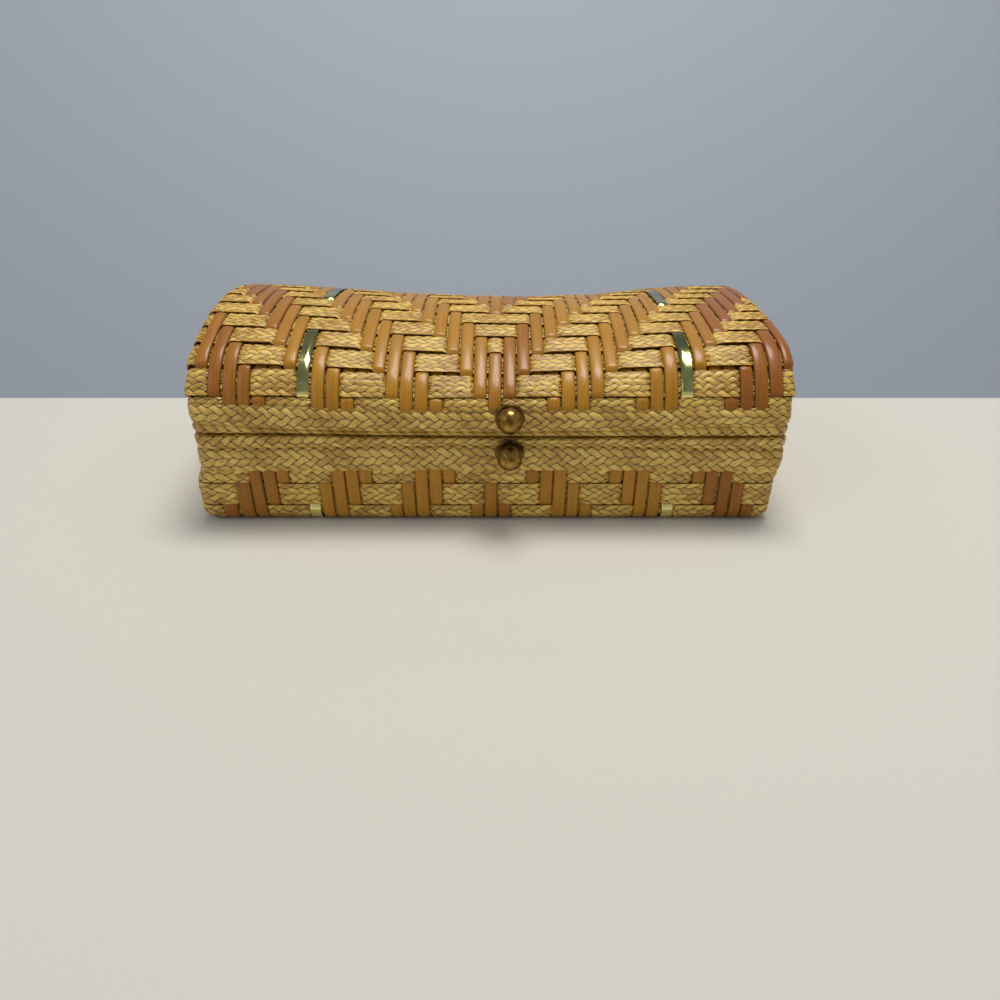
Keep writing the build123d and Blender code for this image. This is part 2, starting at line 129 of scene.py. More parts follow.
# %% The lid from front to back
def lid_profile(s, x):
    """Place and outward normal in the YZ plane at a girth length from the front rim."""
    top, radius, big, straight, bend, girth = arch(x)
    side = np.where(s < lid_girth / 2, -1.0, 1.0)
    c = np.abs(s - lid_girth / 2) * girth / lid_girth
    q = girth / 2 - c
    t = np.clip((q - straight) / radius, 0, None)
    k = c / big
    on_crown = q > straight + bend
    y = np.where(on_crown, big * np.sin(k), half_depth - radius + radius * np.cos(t))
    z = np.where(on_crown, top - big * (1 - np.cos(k)), spring + radius * np.sin(t))
    z = np.where(q < straight, lid_foot + q, z)
    ny = np.where(on_crown, np.sin(k), np.cos(t))
    nz = np.where(on_crown, np.cos(k), np.sin(t))
    return side * y, z, side * ny, nz


print("girth of the lid:", round(lid_girth, 1), "mm")

# %% The tray from the front rim under the floor to the back rim
tray_straight = tray_top - tray_floor - tray_bend
tray_girth = 2 * (tray_straight + math.pi / 2 * tray_bend + half_depth - tray_bend)


def tray_profile(s, x):
    """The same as for the lid. The tray's section doesn't change along the bag, so x isn't used."""
    side = np.where(s < tray_girth / 2, -1.0, 1.0)
    c = np.abs(s - tray_girth / 2)
    q = tray_girth / 2 - c
    t = np.clip((q - tray_straight) / tray_bend, 0, math.pi / 2)
    flat = c < half_depth - tray_bend
    y = np.where(flat, c, half_depth - tray_bend + tray_bend * np.cos(t))
    z = np.where(flat, tray_floor, tray_floor + tray_bend - tray_bend * np.sin(t))
    z = np.where(q < tray_straight, tray_top - q, z)
    ny = np.where(flat, 0.0, np.cos(t))
    nz = np.where(flat, -1.0, -np.sin(t))
    return side * y, z, side * ny, nz


print("girth of the tray:", round(tray_girth, 1), "mm")

# %% Over the end arris and down the end
lid_end = 108.4
lid_end_corner = 3.2
lid_tuck = 49.5
lid_lean = 0.7


def fan_foot(s):
    """Where a plait of the lid comes to the foot of the end, from front to back: they fan inwards."""
    return (s / lid_girth - 0.5) * 2 * (half_depth - 2 * corner)


def wrap(profile, x, s, h, end, radius, fan=False):
    """Bends flat weave round the box: over the end arris, and then down or along the end."""
    y, z, ny, nz = profile(s, x)
    side = np.sign(x)
    level = np.clip(np.abs(x), 0, end - radius)
    beyond = np.abs(x) - level
    turn = np.minimum(beyond / radius, math.pi / 2)
    drop = np.maximum(beyond - radius * math.pi / 2, 0)
    reach = radius + h
    edge_y = y - radius * ny
    edge_z = z - radius * nz
    way_y = -ny
    way_z = -nz
    lean_in = 0.0
    if fan:
        foot_y = fan_foot(s)
        length = np.hypot(foot_y - edge_y, lid_foot - edge_z) + 1e-6
        way_y = (foot_y - edge_y) / length
        way_z = (lid_foot - edge_z) / length
        tucked = np.clip(drop / np.maximum(edge_z - lid_tuck, 1), 0, 1)
        lean_in = (end - half_length + lid_lean) * tucked**2
    out_y = edge_y + reach * np.cos(turn) * ny + way_y * drop
    out_z = edge_z + reach * np.cos(turn) * nz + way_z * drop
    out_x = side * (level + reach * np.sin(turn) - lean_in)
    return out_x, out_y, out_z


print("the lid's outermost plaits come down", round(fan_foot(lid_girth), 1), "mm from the middle of the end")

# %% Points of the lid's weave
wander_fade = 12.0
slow_along = (45, 26)
slow_across = (24, 40)


def wander(x, s, along, across, seed):
    """The small wander that hand weaving has, along and across the bag. It ends before the arris."""
    inner = smooth(half_length - np.abs(x), 0.0, wander_fade)
    wander_x = inner * along * waves(x / slow_along[0], s / slow_along[1], seed)
    wander_s = inner * across * waves(x / slow_across[0], s / slow_across[1], seed + 1)
    return wander_x, wander_s


def lid_point(x, s, h):
    """A point of the lid's weave: x along the bag, s along a cane and h outwards."""
    wander_x, wander_s = wander(x, s, 0.5, 0.4, 3)
    px, py, pz = wrap(lid_profile, x + wander_x, s + wander_s, h, lid_end, lid_end_corner, fan=True)
    return np.stack([px, py, pz], axis=-1)


print("top of the lid in the middle:", lid_point(0.0, lid_girth / 2, 0.0).round(1))

# %% Points of the tray's weave
foot_spread_left = 2.7
foot_spread_right = 1.1
foot_spread_top = 24.0
foot_spread_fade = 9.0
foot_spread_along = (88.0, 106.0)
rim_calm = (12, 20)


def foot_spread(x, z):
    """The tray's left end has bulged out at the foot, and its right end leans in a little."""
    low = smooth(foot_spread_top - z, 0.0, foot_spread_fade)
    end = smooth(np.abs(x), *foot_spread_along)
    return x - low * end * np.where(x < 0, foot_spread_left, foot_spread_right)


def tray_point(x, s, h):
    """A point of the tray's weave. The wander along a cane also ends before the rims."""
    wander_x, wander_s = wander(x, s, 0.4, 0.3, 13)
    wander_s = wander_s * smooth(s, *rim_calm) * smooth(tray_girth - s, *rim_calm)
    px, py, pz = wrap(tray_profile, x + wander_x, s + wander_s, h, half_length, corner)
    return np.stack([foot_spread(px, pz), py, np.maximum(pz, lowest)], axis=-1)


print("the tray's left end at the foot:", tray_point(-half_length, tray_girth / 2, 0.0).round(1))

# %% [markdown]
# ## Round the box
# Some plaits run round the whole bag instead. Their path is a rectangle with round corners, measured
# from the middle of the left end by way of the front. A curve object could carry it, but then the
# height of each point over the canes would be hard to set, so the path is a function too.

# %% The path round the box
quarter = corner * math.pi / 2
inner_x = half_length - corner
inner_y = half_depth - corner
ring_parts = [inner_y, quarter, 2 * inner_x, quarter, 2 * inner_y, quarter, 2 * inner_x, quarter, inner_y]
ring_stops = np.cumsum([0] + ring_parts)
ring_length = float(ring_stops[-1])
ring_x = [-inner_x] * 3 + [inner_x] * 4 + [-inner_x] * 3
ring_y = [0] + [-inner_y] * 4 + [inner_y] * 4 + [0]
ring_angle = [math.pi / 2 * turns for turns in (2, 2, 3, 3, 4, 4, 5, 5, 6, 6)]


def ring_place(t):
    """Place along the bag and from front to back on the path, and whether it is on an end."""
    t = np.mod(t, ring_length)
    x = np.interp(t, ring_stops, ring_x)
    y = np.interp(t, ring_stops, ring_y)
    on_end = (np.abs(x) >= inner_x - 1e-6) & (np.abs(y) < inner_y - 1e-6)
    return x, y, on_end


def ring(t, front_inset, end_inset, z, front_normal, end_normal, h):
    """A point at a distance round the box. Inset and normal differ on the long sides and the ends."""
    cx, cy, _ = ring_place(t)
    angle = np.interp(np.mod(t, ring_length), ring_stops, ring_angle)
    front = np.sin(angle) ** 2
    inset = end_inset + (front_inset - end_inset) * front
    flat = end_normal[0] + (front_normal[0] - end_normal[0]) * front
    up = end_normal[1] + (front_normal[1] - end_normal[1]) * front
    reach = corner - inset + h * flat
    reach = np.where(reach < 0, reach * (1 - np.sin(2 * angle) ** 2), reach)
    return cx + reach * np.cos(angle), cy + reach * np.sin(angle), z + h * up


print("length round the box:", round(ring_length, 1), "mm")


# %% Plaits round the lid and the tray
def lid_ring(t, s, h):
    """A point of a plait round the lid, at the height of a girth length."""
    y, z, ny, nz = lid_profile(s, ring_place(t)[0])
    px, py, pz = ring(t, half_depth - np.abs(y), 0.0, z, (np.abs(ny), nz), (1.0, 0.0), h)
    return np.stack([px, py, pz], axis=-1)


def tray_ring(t, s, h):
    """A point of a plait round the tray."""
    y, z, ny, nz = tray_profile(s, 0 * t)
    inset = half_depth - np.abs(y)
    px, py, pz = ring(t, inset, inset, z, (np.abs(ny), nz), (np.abs(ny), nz), h)
    return np.stack([foot_spread(px, pz), py, np.maximum(pz, lowest)], axis=-1)


print("middle of the tray's left end, 15 mm under the rim:", tray_ring(0.0, 15.0, 0.0).round(1))

# %% [markdown]
# ## The twill
# A cane passes over three plaits and under three, one plait later than its neighbour, and the order
# is mirrored about the middle of the bag. That makes the chevrons. Rows are stretches of girth, with
# a number each, so the rule needs only the number of the cane and the number of the row.

# %% The rule for over and under
canes_each_side = 20
cane_numbers = range(-canes_each_side, canes_each_side + 1)


def is_over(number, row):
    """Whether a cane lies outside a plait."""
    return (abs(number) - row + 1) % 6 in (5, 0, 1)


for number in (0, 1, 2):
    order = "".join("#" if is_over(number, row) else "." for row in range(12))
    print(f"cane {number} over and under:", order)

# %% Rows of the lid
row_step = 10.0
lid_band = (38.6, 46.2)
lid_band_lap = 1.4
lid_first_row = 12.7
lid_row_gaps = (1.1, 0.7)


def numbered(edges, first):
    """Row number to start and end, for rows that lie edge to edge."""
    return {first + i: (edges[i], edges[i + 1]) for i in range(len(edges) - 1)}


def lid_row_bounds():
    """The lid's rows from the front band over the top to the back band, wider at both sides."""
    rim = lid_band[1] - lid_band_lap - lid_foot
    free = lid_girth - 2 * lid_first_row - 2 * sum(lid_row_gaps)
    count = round(free / row_step)
    step = free / count
    wide = [step + gap for gap in lid_row_gaps]
    widths = wide + [step] * (count - 4) + wide[::-1]
    long_edges = lid_first_row + np.concatenate([[0], np.cumsum(widths)])
    return numbered(np.concatenate([[rim], long_edges, [lid_girth - rim]]).tolist(), 0)


lid_rows = lid_row_bounds()
lid_long_rows = dict(list(lid_rows.items())[1:-1])
print("rows on the lid:", len(lid_rows), "of", round(lid_rows[4][1] - lid_rows[4][0], 2), "mm at the top")

# %% Rows of the tray
tray_band = (21.9, 31.2)
tray_band_lap = 1.0
tray_first_row_height = 16.6
tray_second_row_height = 7.3
tray_first_number = 5
tray_side_rows = 3
bend_clearance = 1.0


def tray_row_bounds():
    """The tray's rows: three on the front, then those of the underside, and three on the back."""
    rim = tray_top - tray_band[0] - tray_band_lap
    first = tray_top - tray_first_row_height
    second = tray_top - tray_second_row_height
    below = tray_straight + math.pi / 2 * tray_bend + bend_clearance
    flat = tray_girth - 2 * below
    count = round(flat / row_step)
    edges = [rim, first, second] + [below + flat * i / count for i in range(count + 1)]
    edges += [tray_girth - second, tray_girth - first, tray_girth - rim]
    return numbered(edges, tray_first_number)


tray_rows = tray_row_bounds()
tray_long_rows = dict(list(tray_rows.items())[tray_side_rows:-tray_side_rows])
print("rows on the tray:", len(tray_rows), "with", len(tray_long_rows), "under the floor")

# %% [markdown]
# ## From arrays to a piece
# Every strip of the weave comes as the same five arrays: points, faces, a tone for each face, the
# strand's UV map for each corner and a crack value for each point. Strips that are woven alike are
# joined before they become a mesh, because a bag with a hundred loose objects is hard to handle.

# %% Making a mesh object from arrays
weave_smooth_angle = 50


def pick(piece):
    """Only this piece selected and active, as the operators need it."""
    bpy.ops.object.select_all(action="DESELECT")
    piece.select_set(True)
    bpy.context.view_layer.objects.active = piece


def new_piece(name, points, faces):
    """An object at the origin whose place is in its mesh, in metres. It is left picked."""
    mesh = bpy.data.meshes.new(name)
    mesh.from_pydata((np.asarray(points) * MM).tolist(), [], faces)
    mesh.update()
    piece = bpy.data.objects.new(name, mesh)
    bpy.context.scene.collection.objects.link(piece)
    pick(piece)
    return piece


def settle(name, arrays, body, material):
    """A woven piece that rides on a body, with the attributes that the fibre material reads."""
    points, faces, tone, uv, crack = arrays
    piece = new_piece(name, points, faces)
    mesh = piece.data
    # the crack attribute sets the painted shade that the fibre material puts in the cracks, on the plaits'
    # turned-down edges and at the canes' sides
    for title, domain, values in (("tone", "FACE", tone), ("crack", "POINT", crack)):
        layer = mesh.attributes.new(title, "FLOAT", domain)
        layer.data.foreach_set("value", np.asarray(values, dtype=np.float32))
    layer = mesh.uv_layers.new(name="strand")
    layer.data.foreach_set("uv", np.asarray(uv, dtype=np.float32).ravel())
    bpy.ops.object.shade_smooth_by_angle(angle=math.radians(weave_smooth_angle))
    mesh.materials.append(material)
    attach(piece, body)
    print(f"{name}: {sum(len(p.vertices) - 2 for p in mesh.polygons)} triangles")
    return piece


def join_arrays(parts):
    """Several (points, faces, tone, uv, crack) sets as one."""
    points, faces, tones, uvs, cracks = zip(*parts)
    starts = np.cumsum([0] + [len(p) for p in points]).tolist()
    moved = [tuple(i + start for i in face) for start, part in zip(starts, faces) for face in part]
    return np.concatenate(points), moved, np.concatenate(tones), np.concatenate(uvs), np.concatenate(cracks)


# %% [markdown]
# ## Canes
# A split cane is a half-round strip: flat behind, domed in front, with a hard skin. A curve with a
# bevel profile could follow the girth, but each cane dives at its own places and has its own tone,
# so a section is swept in arrays. A float runs level over its three plaits and bends down within
# three millimetres at their outer edges, and the highlights at its shoulders come from that bend.

# %% Height of a cane along its way
cane_pitch = {"lid": 5.23, "tray": 5.12}
cane_shift = {"lid": 1.8, "tray": 0.2}
cane_over = 0.88
cane_under = -0.75
dive_outside = 1.7
dive_inside = 1.2
float_lap = 1.0
walls = {"lid": (lid_rows, lid_girth, lid_point), "tray": (tray_rows, tray_girth, tray_point)}


def cane_place(wall, number):
    """Distance along the bag of a cane's middle."""
    return number * cane_pitch[wall] + cane_shift[wall]


def cane_height(s, number, rows):
    """Height of the cane's crown over the wall at each girth length."""
    height = np.full_like(s, cane_under)
    for row, (start, end) in rows.items():
        if is_over(number, row):
            up = (s > start - float_lap) * 1.0
            down = (s < end + float_lap) * 1.0
            if not (row - 1 in rows and is_over(number, row - 1)):
                up = smooth(s, start - dive_outside, start + dive_inside)
            if not (row + 1 in rows and is_over(number, row + 1)):
                down = 1 - smooth(s, end - dive_inside, end + dive_outside)
            height = np.maximum(height, cane_under + (cane_over - cane_under) * np.minimum(up, down))
    return height


print("places of the lid's first and last cane:", [round(cane_place("lid", n), 1) for n in (-20, 20)])

# %% The section and the tone of a cane
cane_back = 0.8
cane_dome = 0.8
cane_fullness = 0.62
plain_tone = 0.12
tone_stray = (-0.1, 0.16)
dark_ends = (13.5, 17.5)
dark_left = 0.6
dark_right = 0.85
warm_cane = 1.5
warm_spread = 2.2
warm_tone = 0.5


def cane_section(thickness, flat):
    """Place across, from -1 to 1, and height under the crown, over the outer face of a strip."""
    if flat:
        return np.array([-1.0, -0.96, 0.0, 0.96, 1.0]), np.array([-0.25, 0.0, 0.02, 0.0, -0.25]) * thickness
    angle = np.linspace(math.pi, 0, 9)
    return np.cos(angle), (np.sin(angle) ** cane_fullness - 1) * thickness * cane_dome


def cane_tone(number, draw):
    """0 is olive gold, 1 is red brown: dark near both ends, warm in the middle, gold between."""
    ends = smooth(abs(number), *dark_ends) * (dark_right if number > 0 else dark_left)
    middle = warm_tone * math.exp(-((number - warm_cane) / warm_spread) ** 2)
    return float(np.clip(plain_tone + ends + middle + draw.uniform(*tone_stray), 0, 1))


sample_tones = [cane_tone(n, np.random.default_rng(100 + n)) for n in cane_numbers[::8]]
print("tones across the bag:", np.round(sample_tones, 2))

# %% Sweeping a cane
cane_step = 0.8
cane_stray = 0.12
cane_width_range = (0.95, 1.03)


def cane_arrays(wall, number, seed, width, thickness, flat=False):
    """Points, faces, tone, uv and crack of one cane."""
    rows, girth, place = walls[wall]
    draw = np.random.default_rng(seed)
    start = min(rows.values())[0]
    s = np.arange(start, girth - start + cane_step / 2, cane_step)
    middle = cane_place(wall, number) + draw.uniform(-cane_stray, cane_stray)
    half_width = width / 2 * draw.uniform(*cane_width_range)
    face_x, face_h = cane_section(thickness, flat)
    section_x = np.concatenate([face_x, [cane_back, -cane_back]])
    section_h = np.concatenate([face_h, [-thickness, -thickness]])
    around = len(section_x)
    x = middle + half_width * section_x[None, :] * np.ones_like(s)[:, None]
    h = cane_height(s, number, rows)[:, None] + section_h[None, :]
    points = place(x, np.repeat(s[:, None], around, axis=1), h).reshape(-1, 3)
    faces = []
    for i in range(len(s) - 1):
        for j in range(around):
            k = (j + 1) % around
            faces.append((i * around + j, i * around + k, (i + 1) * around + k, (i + 1) * around + j))
    faces.append(tuple(range(around))[::-1])
    faces.append(tuple((len(s) - 1) * around + j for j in range(around)))
    if wall == "tray":
        faces = [face[::-1] for face in faces]
    tone = np.full(len(faces), cane_tone(number, draw))
    lane = np.concatenate([face_x * 0.5 + 0.5, [1.0, 0.0]])
    uv = np.stack([np.tile(lane, len(s)) + number, np.repeat(s, around) * 0.01 + number * 1.7], axis=-1)
    side_shadow = np.abs(np.concatenate([face_x, [1.0, 1.0]])) ** 6
    return points, faces, tone, uv[np.concatenate(faces)], np.tile(side_shadow, len(s))


# %% [markdown]
# ## A straw plait
# A flat plait is two families of straw strands that cross on the slant, and each strand goes over
# two and under two. A curve for every strand would make thousands of curves that cut into each
# other, and a picture on a flat strip would stay flat. Here one lattice of points has its lines in
# the two directions of the strands. A float is two cells long, humped in the middle, and dives at
# both ends. The lines between strands are set as cracks, which the material darkens with painted
# shade.

# %% The height of a strand
cell_stops = np.array([0.0, 0.27, 0.73])
cell_lines = len(cell_stops)
float_fullness = 0.55
strand_roundness = 0.22


def lattice_stop(index):
    """Where a line of the lattice lies, in cells. There are three lines to a cell."""
    return np.floor(index / cell_lines) + cell_stops[np.mod(index, cell_lines)]


def strand_data(cell_a, cell_b, a, b):
    """Whether the first family lies on top in a cell, and the place across and along its strand."""
    k = np.mod(cell_a - cell_b, 4)
    first = k < 2
    across = np.where(first, a - cell_a, b - cell_b)
    along = np.where(first, 1 - k + b - cell_b, k - 2 + a - cell_a) / 2
    return first, across, along


def strand_dome(cell_a, cell_b, a, b):
    """Height of a strand: its float of two cells dives at both ends, and its back is a little round."""
    _, across, along = strand_data(cell_a, cell_b, a, b)
    hump = np.sin(math.pi * np.clip(along, 0, 1)) ** float_fullness
    return hump * (1 - strand_roundness * (2 * across - 1) ** 2)


print("height at a quarter of a float:", round(float(strand_dome(0, 0, 0.5, -0.5)), 2))

# %% The points of the lattice
strand_step = 4.2
strand_rise = 2.85


def cells_across(start, end):
    """How many half cells fit across a plait that lies in a row."""
    return max(2, round((end - start) / (strand_rise / 2)))


def lattice_numbers(length, half_cells, closed):
    """The numbers of both families' lines at each point, and how many cells lie along the plait."""
    count = max(1, round(length / strand_step))
    extra = 0 if closed else half_cells
    columns = cell_lines * (count + extra) + (0 if closed else 1)
    j = np.arange(columns)[None, :] - cell_lines * ((extra + 1) // 2)
    i = j + np.arange(cell_lines * half_cells + 1)[:, None]
    return i, j + np.zeros_like(i), count


def lattice_points(i, j, cell_length, half_cells):
    """Place along and across the plait, height and crack at each point."""
    a, b = lattice_stop(i), lattice_stop(j)
    cell_a, cell_b = i // cell_lines, j // cell_lines
    on_a, on_b = i % cell_lines == 0, j % cell_lines == 0
    k = (cell_a - cell_b) % 4
    crack = np.where(on_a & on_b, 1.0, np.where(on_a, k != 3, np.where(on_b, k != 0, 0.0)))
    dome = (strand_dome(cell_a, cell_b, a, b) + strand_dome(cell_a - on_a, cell_b - on_b, a, b)) / 2
    return (a + b) / 2 * cell_length, (a - b) / half_cells, dome, crack


print("half cells across the lid's fourth row:", cells_across(*lid_rows[4]))


# %% The triangles of the lattice
def lattice_triangles(i, j, count, closed):
    """The triangles, two to a square of lines, with the strand, the cell and the UV corners of each."""
    height, columns = i.shape
    total = columns if closed else columns - 1
    row, column = np.meshgrid(np.arange(height), np.arange(total), indexing="ij")
    after = (column + 1) % columns
    upward = (slice(0, height - 1), (row[1:], column[1:]), ((0, 0), (1, 1), (1, 0)))
    downward = (slice(1, height), (row[:-1], after[:-1]), ((0, 0), (0, 1), (1, 1)))
    faces, strands, cells, uvs = [], [], [], []
    for rows, other, steps in (upward, downward):
        here = row[rows] * columns + column[rows]
        ahead = row[rows] * columns + after[rows]
        third = other[0] * columns + other[1]
        corners = (here, ahead, third) if rows.start == 0 else (here, third, ahead)
        faces.append(np.stack(corners, axis=-1).reshape(-1, 3))
        my_i, my_j = i[rows, :total], j[rows, :total]
        my_a, my_b = my_i // cell_lines, my_j // cell_lines
        first = strand_data(my_a, my_b, my_a, my_b)[0]
        strand = np.where(first, np.mod(my_a, count), np.mod(my_b, count) + 0.5)
        cell = np.mod(my_a, count) * 7.13 + np.mod(my_b, count) * 3.71
        corner_uv = []
        for di, dj in steps:
            _, across, along = strand_data(my_a, my_b, lattice_stop(my_i + di), lattice_stop(my_j + dj))
            corner_uv.append(np.stack([across + 2 * strand, along * 0.7 + strand * 0.37], axis=-1))
        uvs.append(np.stack(corner_uv, axis=2).reshape(-1, 3, 2))
        strands.append(strand.ravel())
        cells.append(cell.ravel())
    return np.concatenate(faces), np.concatenate(strands), np.concatenate(cells), np.concatenate(uvs)


# %% Laying a plait
hand_sway = 0.35
edge_sway = 0.035
plait_bulk = 0.16
strand_stray = 0.04
crack_depth = 0.12
edge_turn = 0.02


def skirt_faces(rows, columns, closed):
    """Faces from both long edges of the plait to the points that lie turned down behind them."""
    base = rows * columns
    top = base - columns
    c = np.arange(columns if closed else columns - 1)
    n = (c + 1) % columns
    first = np.stack([c, base + c, base + n, n], axis=-1)
    last = np.stack([top + c, top + n, base + columns + n, base + columns + c], axis=-1)
    return np.concatenate([first, last])


def plait_arrays(length, half_cells, place, seed, closed=False, thickness=0.8, relief=0.34, turn_over=False):
    """A plait laid by place(u, v, height), with its long edges turned down.

    The sway's frequencies are uneven, so that it doesn't fall into step with the strands.
    """
    i, j, count = lattice_numbers(length, half_cells, closed)
    u, v, dome, crack = lattice_points(i, j, length / count, half_cells)
    faces, strands, cells, uvs = lattice_triangles(i, j, count, closed)
    if not closed:
        u = np.clip(u, 0, length)
    hand = v * (1 - v) * 4
    u = u + hand_sway * np.sin(u * 0.83 + v * 3.0 + seed) * hand
    v = v + edge_sway * np.sin(u * 1.37 + seed * 1.7) * hand
    bulk = plait_bulk * (1 - (2 * v - 1) ** 2)
    jitter = strand_stray * np.sin(u * 1.9 + seed) * np.sin(v * 5.0 + u * 0.7 + seed * 1.3)
    points = place(u, v, bulk + relief * (dome - 1) + jitter - crack_depth * crack)
    behind = -thickness * np.ones_like(v[:1])
    low_first = place(u[:1], v[:1] + edge_turn, behind)
    low_last = place(u[-1:], v[-1:] - edge_turn, behind)
    skirt = skirt_faces(*u.shape, closed)
    skirt_uv = np.repeat(np.tile(np.arange(len(skirt) // 2), 2) * 0.01, 4)[:, None] * np.ones((1, 2))
    if turn_over:
        faces, uvs, skirt = faces[:, ::-1], uvs[:, ::-1], skirt[:, ::-1]
    all_points = np.concatenate([part.reshape(-1, 3) for part in (points, low_first, low_last)])
    tone = 0.5 + 0.2 * np.sin(strands * 5.3 + seed) + 0.12 * np.sin(cells * 3.1 + seed * 2.1)
    all_tone = np.concatenate([tone, np.full(len(skirt), 0.2)])
    # the turned-down edges get the full crack value, so they are painted in shade
    all_crack = np.concatenate([crack.ravel(), np.ones(2 * u.shape[1])])
    all_uv = np.concatenate([uvs.reshape(-1, 2), skirt_uv])
    return all_points, faces.tolist() + skirt.tolist(), all_tone, all_uv, all_crack


# %% [markdown]
# ## Where a plait lies high or low
# Between the floats of the canes a plait stands proud, and it is pressed down below a float. On the
# ends of the bag there are no canes: there the plaits of the long rows cross the plaits that run
# round the rim, one over and one under. A cloth simulation could find such heights, but they
# wouldn't be the same on each run, and the rule gives them outright.

# %% Height of a plait over the canes
cane_width = 4.75
plait_over = 0.62
plait_under = -0.55
press_edge = (-0.35, 0.75)


def plait_height(wall, x, row):
    """Height of a plait's face on the canes, at a distance along the bag."""
    low = np.zeros_like(x)
    for number in cane_numbers:
        if is_over(number, row):
            gap = np.abs(x - cane_place(wall, number)) - cane_width / 2
            low = np.maximum(low, 1 - smooth(gap, *press_edge))
    return plait_over + (plait_under - plait_over) * low


print("a plait under cane 0 and between canes:", plait_height("lid", np.array([1.8, 20.1]), 1))

# %% Height of a plait over the plaits that cross it
straw_gap = 0.55
crossing_lift = 0.05
crossing_swing = 0.5
crossing_slope = (0.55, 1.05)
lid_end_plaits = (
    (46.0, 51.7, 61.1, 70.5), np.array([48.9, 48.9, 56.4, 65.8, 75.0]), np.array([2.7, 2.7, 4.7, 4.7, 5.0])
)
tray_end_plaits = ((6.3, 16.3), np.array([1.5, 11.3, 19.4]), np.array([4.8, 5.0, 3.1]))


def crossing(place, crossed, turn):
    """The swing over and under by turns, where crossed gives the plaits' borders, middles and half widths."""
    borders, middles, halves = crossed
    number = np.digitize(place, borders)
    inside = 1 - smooth(np.abs(place - middles[number]) / halves[number], *crossing_slope)
    return crossing_swing * np.where((number + turn) % 2 == 0, 1.0, -1.0) * inside


def in_row(start, end, v):
    """Girth length at a share of a row's width, with half a gap left at each edge."""
    gap = straw_gap / 2
    return start + gap + (end - start - 2 * gap) * v


print("swing at the first level of the lid's end:", crossing(np.array([48.9]), lid_end_plaits, 1))

# %% A long plait of the lid
lid_plait_drop = 26.0
lid_end_fold = (-4.0, 1.0)
lid_shingle = 0.25
side_gap = lid_row_gaps[0] * 0.7
lid_fold_gaps = {1: side_gap, 2: 0.6, 11: 0.6, 12: side_gap}


def lid_row_plait(row, start, end):
    """A lid plait from one end of the bag to the other, folded down both ends."""
    reach = lid_end - lid_end_corner + lid_end_corner * math.pi / 2 + lid_plait_drop
    fold = straw_gap + lid_fold_gaps.get(row, 0.0)

    def place(u, v, h):
        x = u - reach
        low_gap = straw_gap / 2
        s = start + low_gap + (end - start - low_gap - fold) * v
        drop = np.abs(x) - (lid_end - lid_end_corner) - lid_end_corner * math.pi / 2
        _, z, _, nz = lid_profile(s, np.sign(x) * half_length)
        height_on_end = z - np.maximum(drop, 0) - lid_end_corner * nz
        on_end = crossing_lift + crossing(height_on_end, lid_end_plaits, row)
        blend = smooth(drop, *lid_end_fold)
        shingle = lid_shingle * (1 - 2 * v)
        height = (plait_height("lid", x, row) + shingle) * (1 - blend) + on_end * blend
        return lid_point(x, s, height + h)

    return plait_arrays(2 * reach, cells_across(start, end), place, 20 + row)


# %% A long plait of the tray
tray_plait_lap = 1.5
tray_end_fold = (0.0, 4.5)


def tray_row_plait(row, start, end):
    """A plait of the underside, turned up both ends as far as the band."""
    reach = half_length - tray_bend + tray_bend * math.pi / 2
    reach = reach + tray_band[0] - tray_floor - tray_bend + tray_plait_lap

    def place(u, v, h):
        x = u - reach
        s = in_row(start, end, v)
        rise_on_end = np.abs(x) - (half_length - tray_bend) - tray_bend * math.pi / 2 + tray_floor + tray_bend
        on_end = crossing_lift + crossing(rise_on_end, tray_end_plaits, row)
        blend = smooth(rise_on_end, *tray_end_fold)
        height = plait_height("tray", x, row) * (1 - blend) + on_end * blend
        return tray_point(x, s, height + h)

    return plait_arrays(2 * reach, cells_across(start, end), place, 50 + row, turn_over=True)


# %% A plait that runs round the box
corner_calm = 4.0


def row_edges(rows):
    """The starts of rows that lie edge to edge, and the end of the last."""
    return np.array([start for start, _ in rows.values()] + [list(rows.values())[-1][1]])


def upright_plaits(edges):
    """Borders, middles and half widths of the long plaits, where they stand on the ends."""
    beyond = row_step / 2
    middles = np.concatenate([[edges[0] - beyond], (edges[1:] + edges[:-1]) / 2, [edges[-1] + beyond]])
    return edges, middles, np.full(len(middles), (edges[1] - edges[0]) / 2)


rings = {
    "lid": (lid_rows, lid_ring, upright_plaits(fan_foot(row_edges(lid_long_rows)))),
    "tray": (tray_rows, tray_ring, upright_plaits(row_edges(tray_long_rows) - tray_girth / 2)),
}


def ring_plait(wall, front_row, back_row, level, seed):
    """A plait round the whole box, under and over the canes and the upright plaits of the ends."""
    rows, on_box, upright = rings[wall]
    start, end = rows[front_row]

    def place(u, v, h):
        x, y, on_end = ring_place(u)
        front = plait_height(wall, x, front_row)
        back = plait_height(wall, x, back_row)
        swing = crossing(y, upright, level + 1) * smooth(inner_y - np.abs(y), 0.0, corner_calm)
        height = np.where(on_end, crossing_lift + swing, np.where(y < 0, front, back))
        return on_box(u, in_row(start, end, v), height + h)

    half_cells = cells_across(start, end)
    return plait_arrays(ring_length, half_cells, place, seed, closed=True, turn_over=wall == "tray")


print("upright plaits on each end:", {wall: len(upright[0]) - 1 for wall, (_, _, upright) in rings.items()})

# %% [markdown]
# ## Materials of the weave
# Straw and cane are both plant fibre, so one node group draws fibres for both: long streaks along
# the strand, taken from the piece's own UV map, and a slow mottling in object space. A photograph of
# straw could be laid on instead, but it would show its repeats on so many strands. Each material
# sets its own colours, gloss and bump.


# %% Helpers for nodes
def feed(tree, node, inputs):
    """Gives each input its value, or links it to the output socket that is given for it."""
    for socket, value in inputs.items():
        if isinstance(value, bpy.types.NodeSocket):
            tree.links.new(value, node.inputs[socket])
        else:
            node.inputs[socket].default_value = value


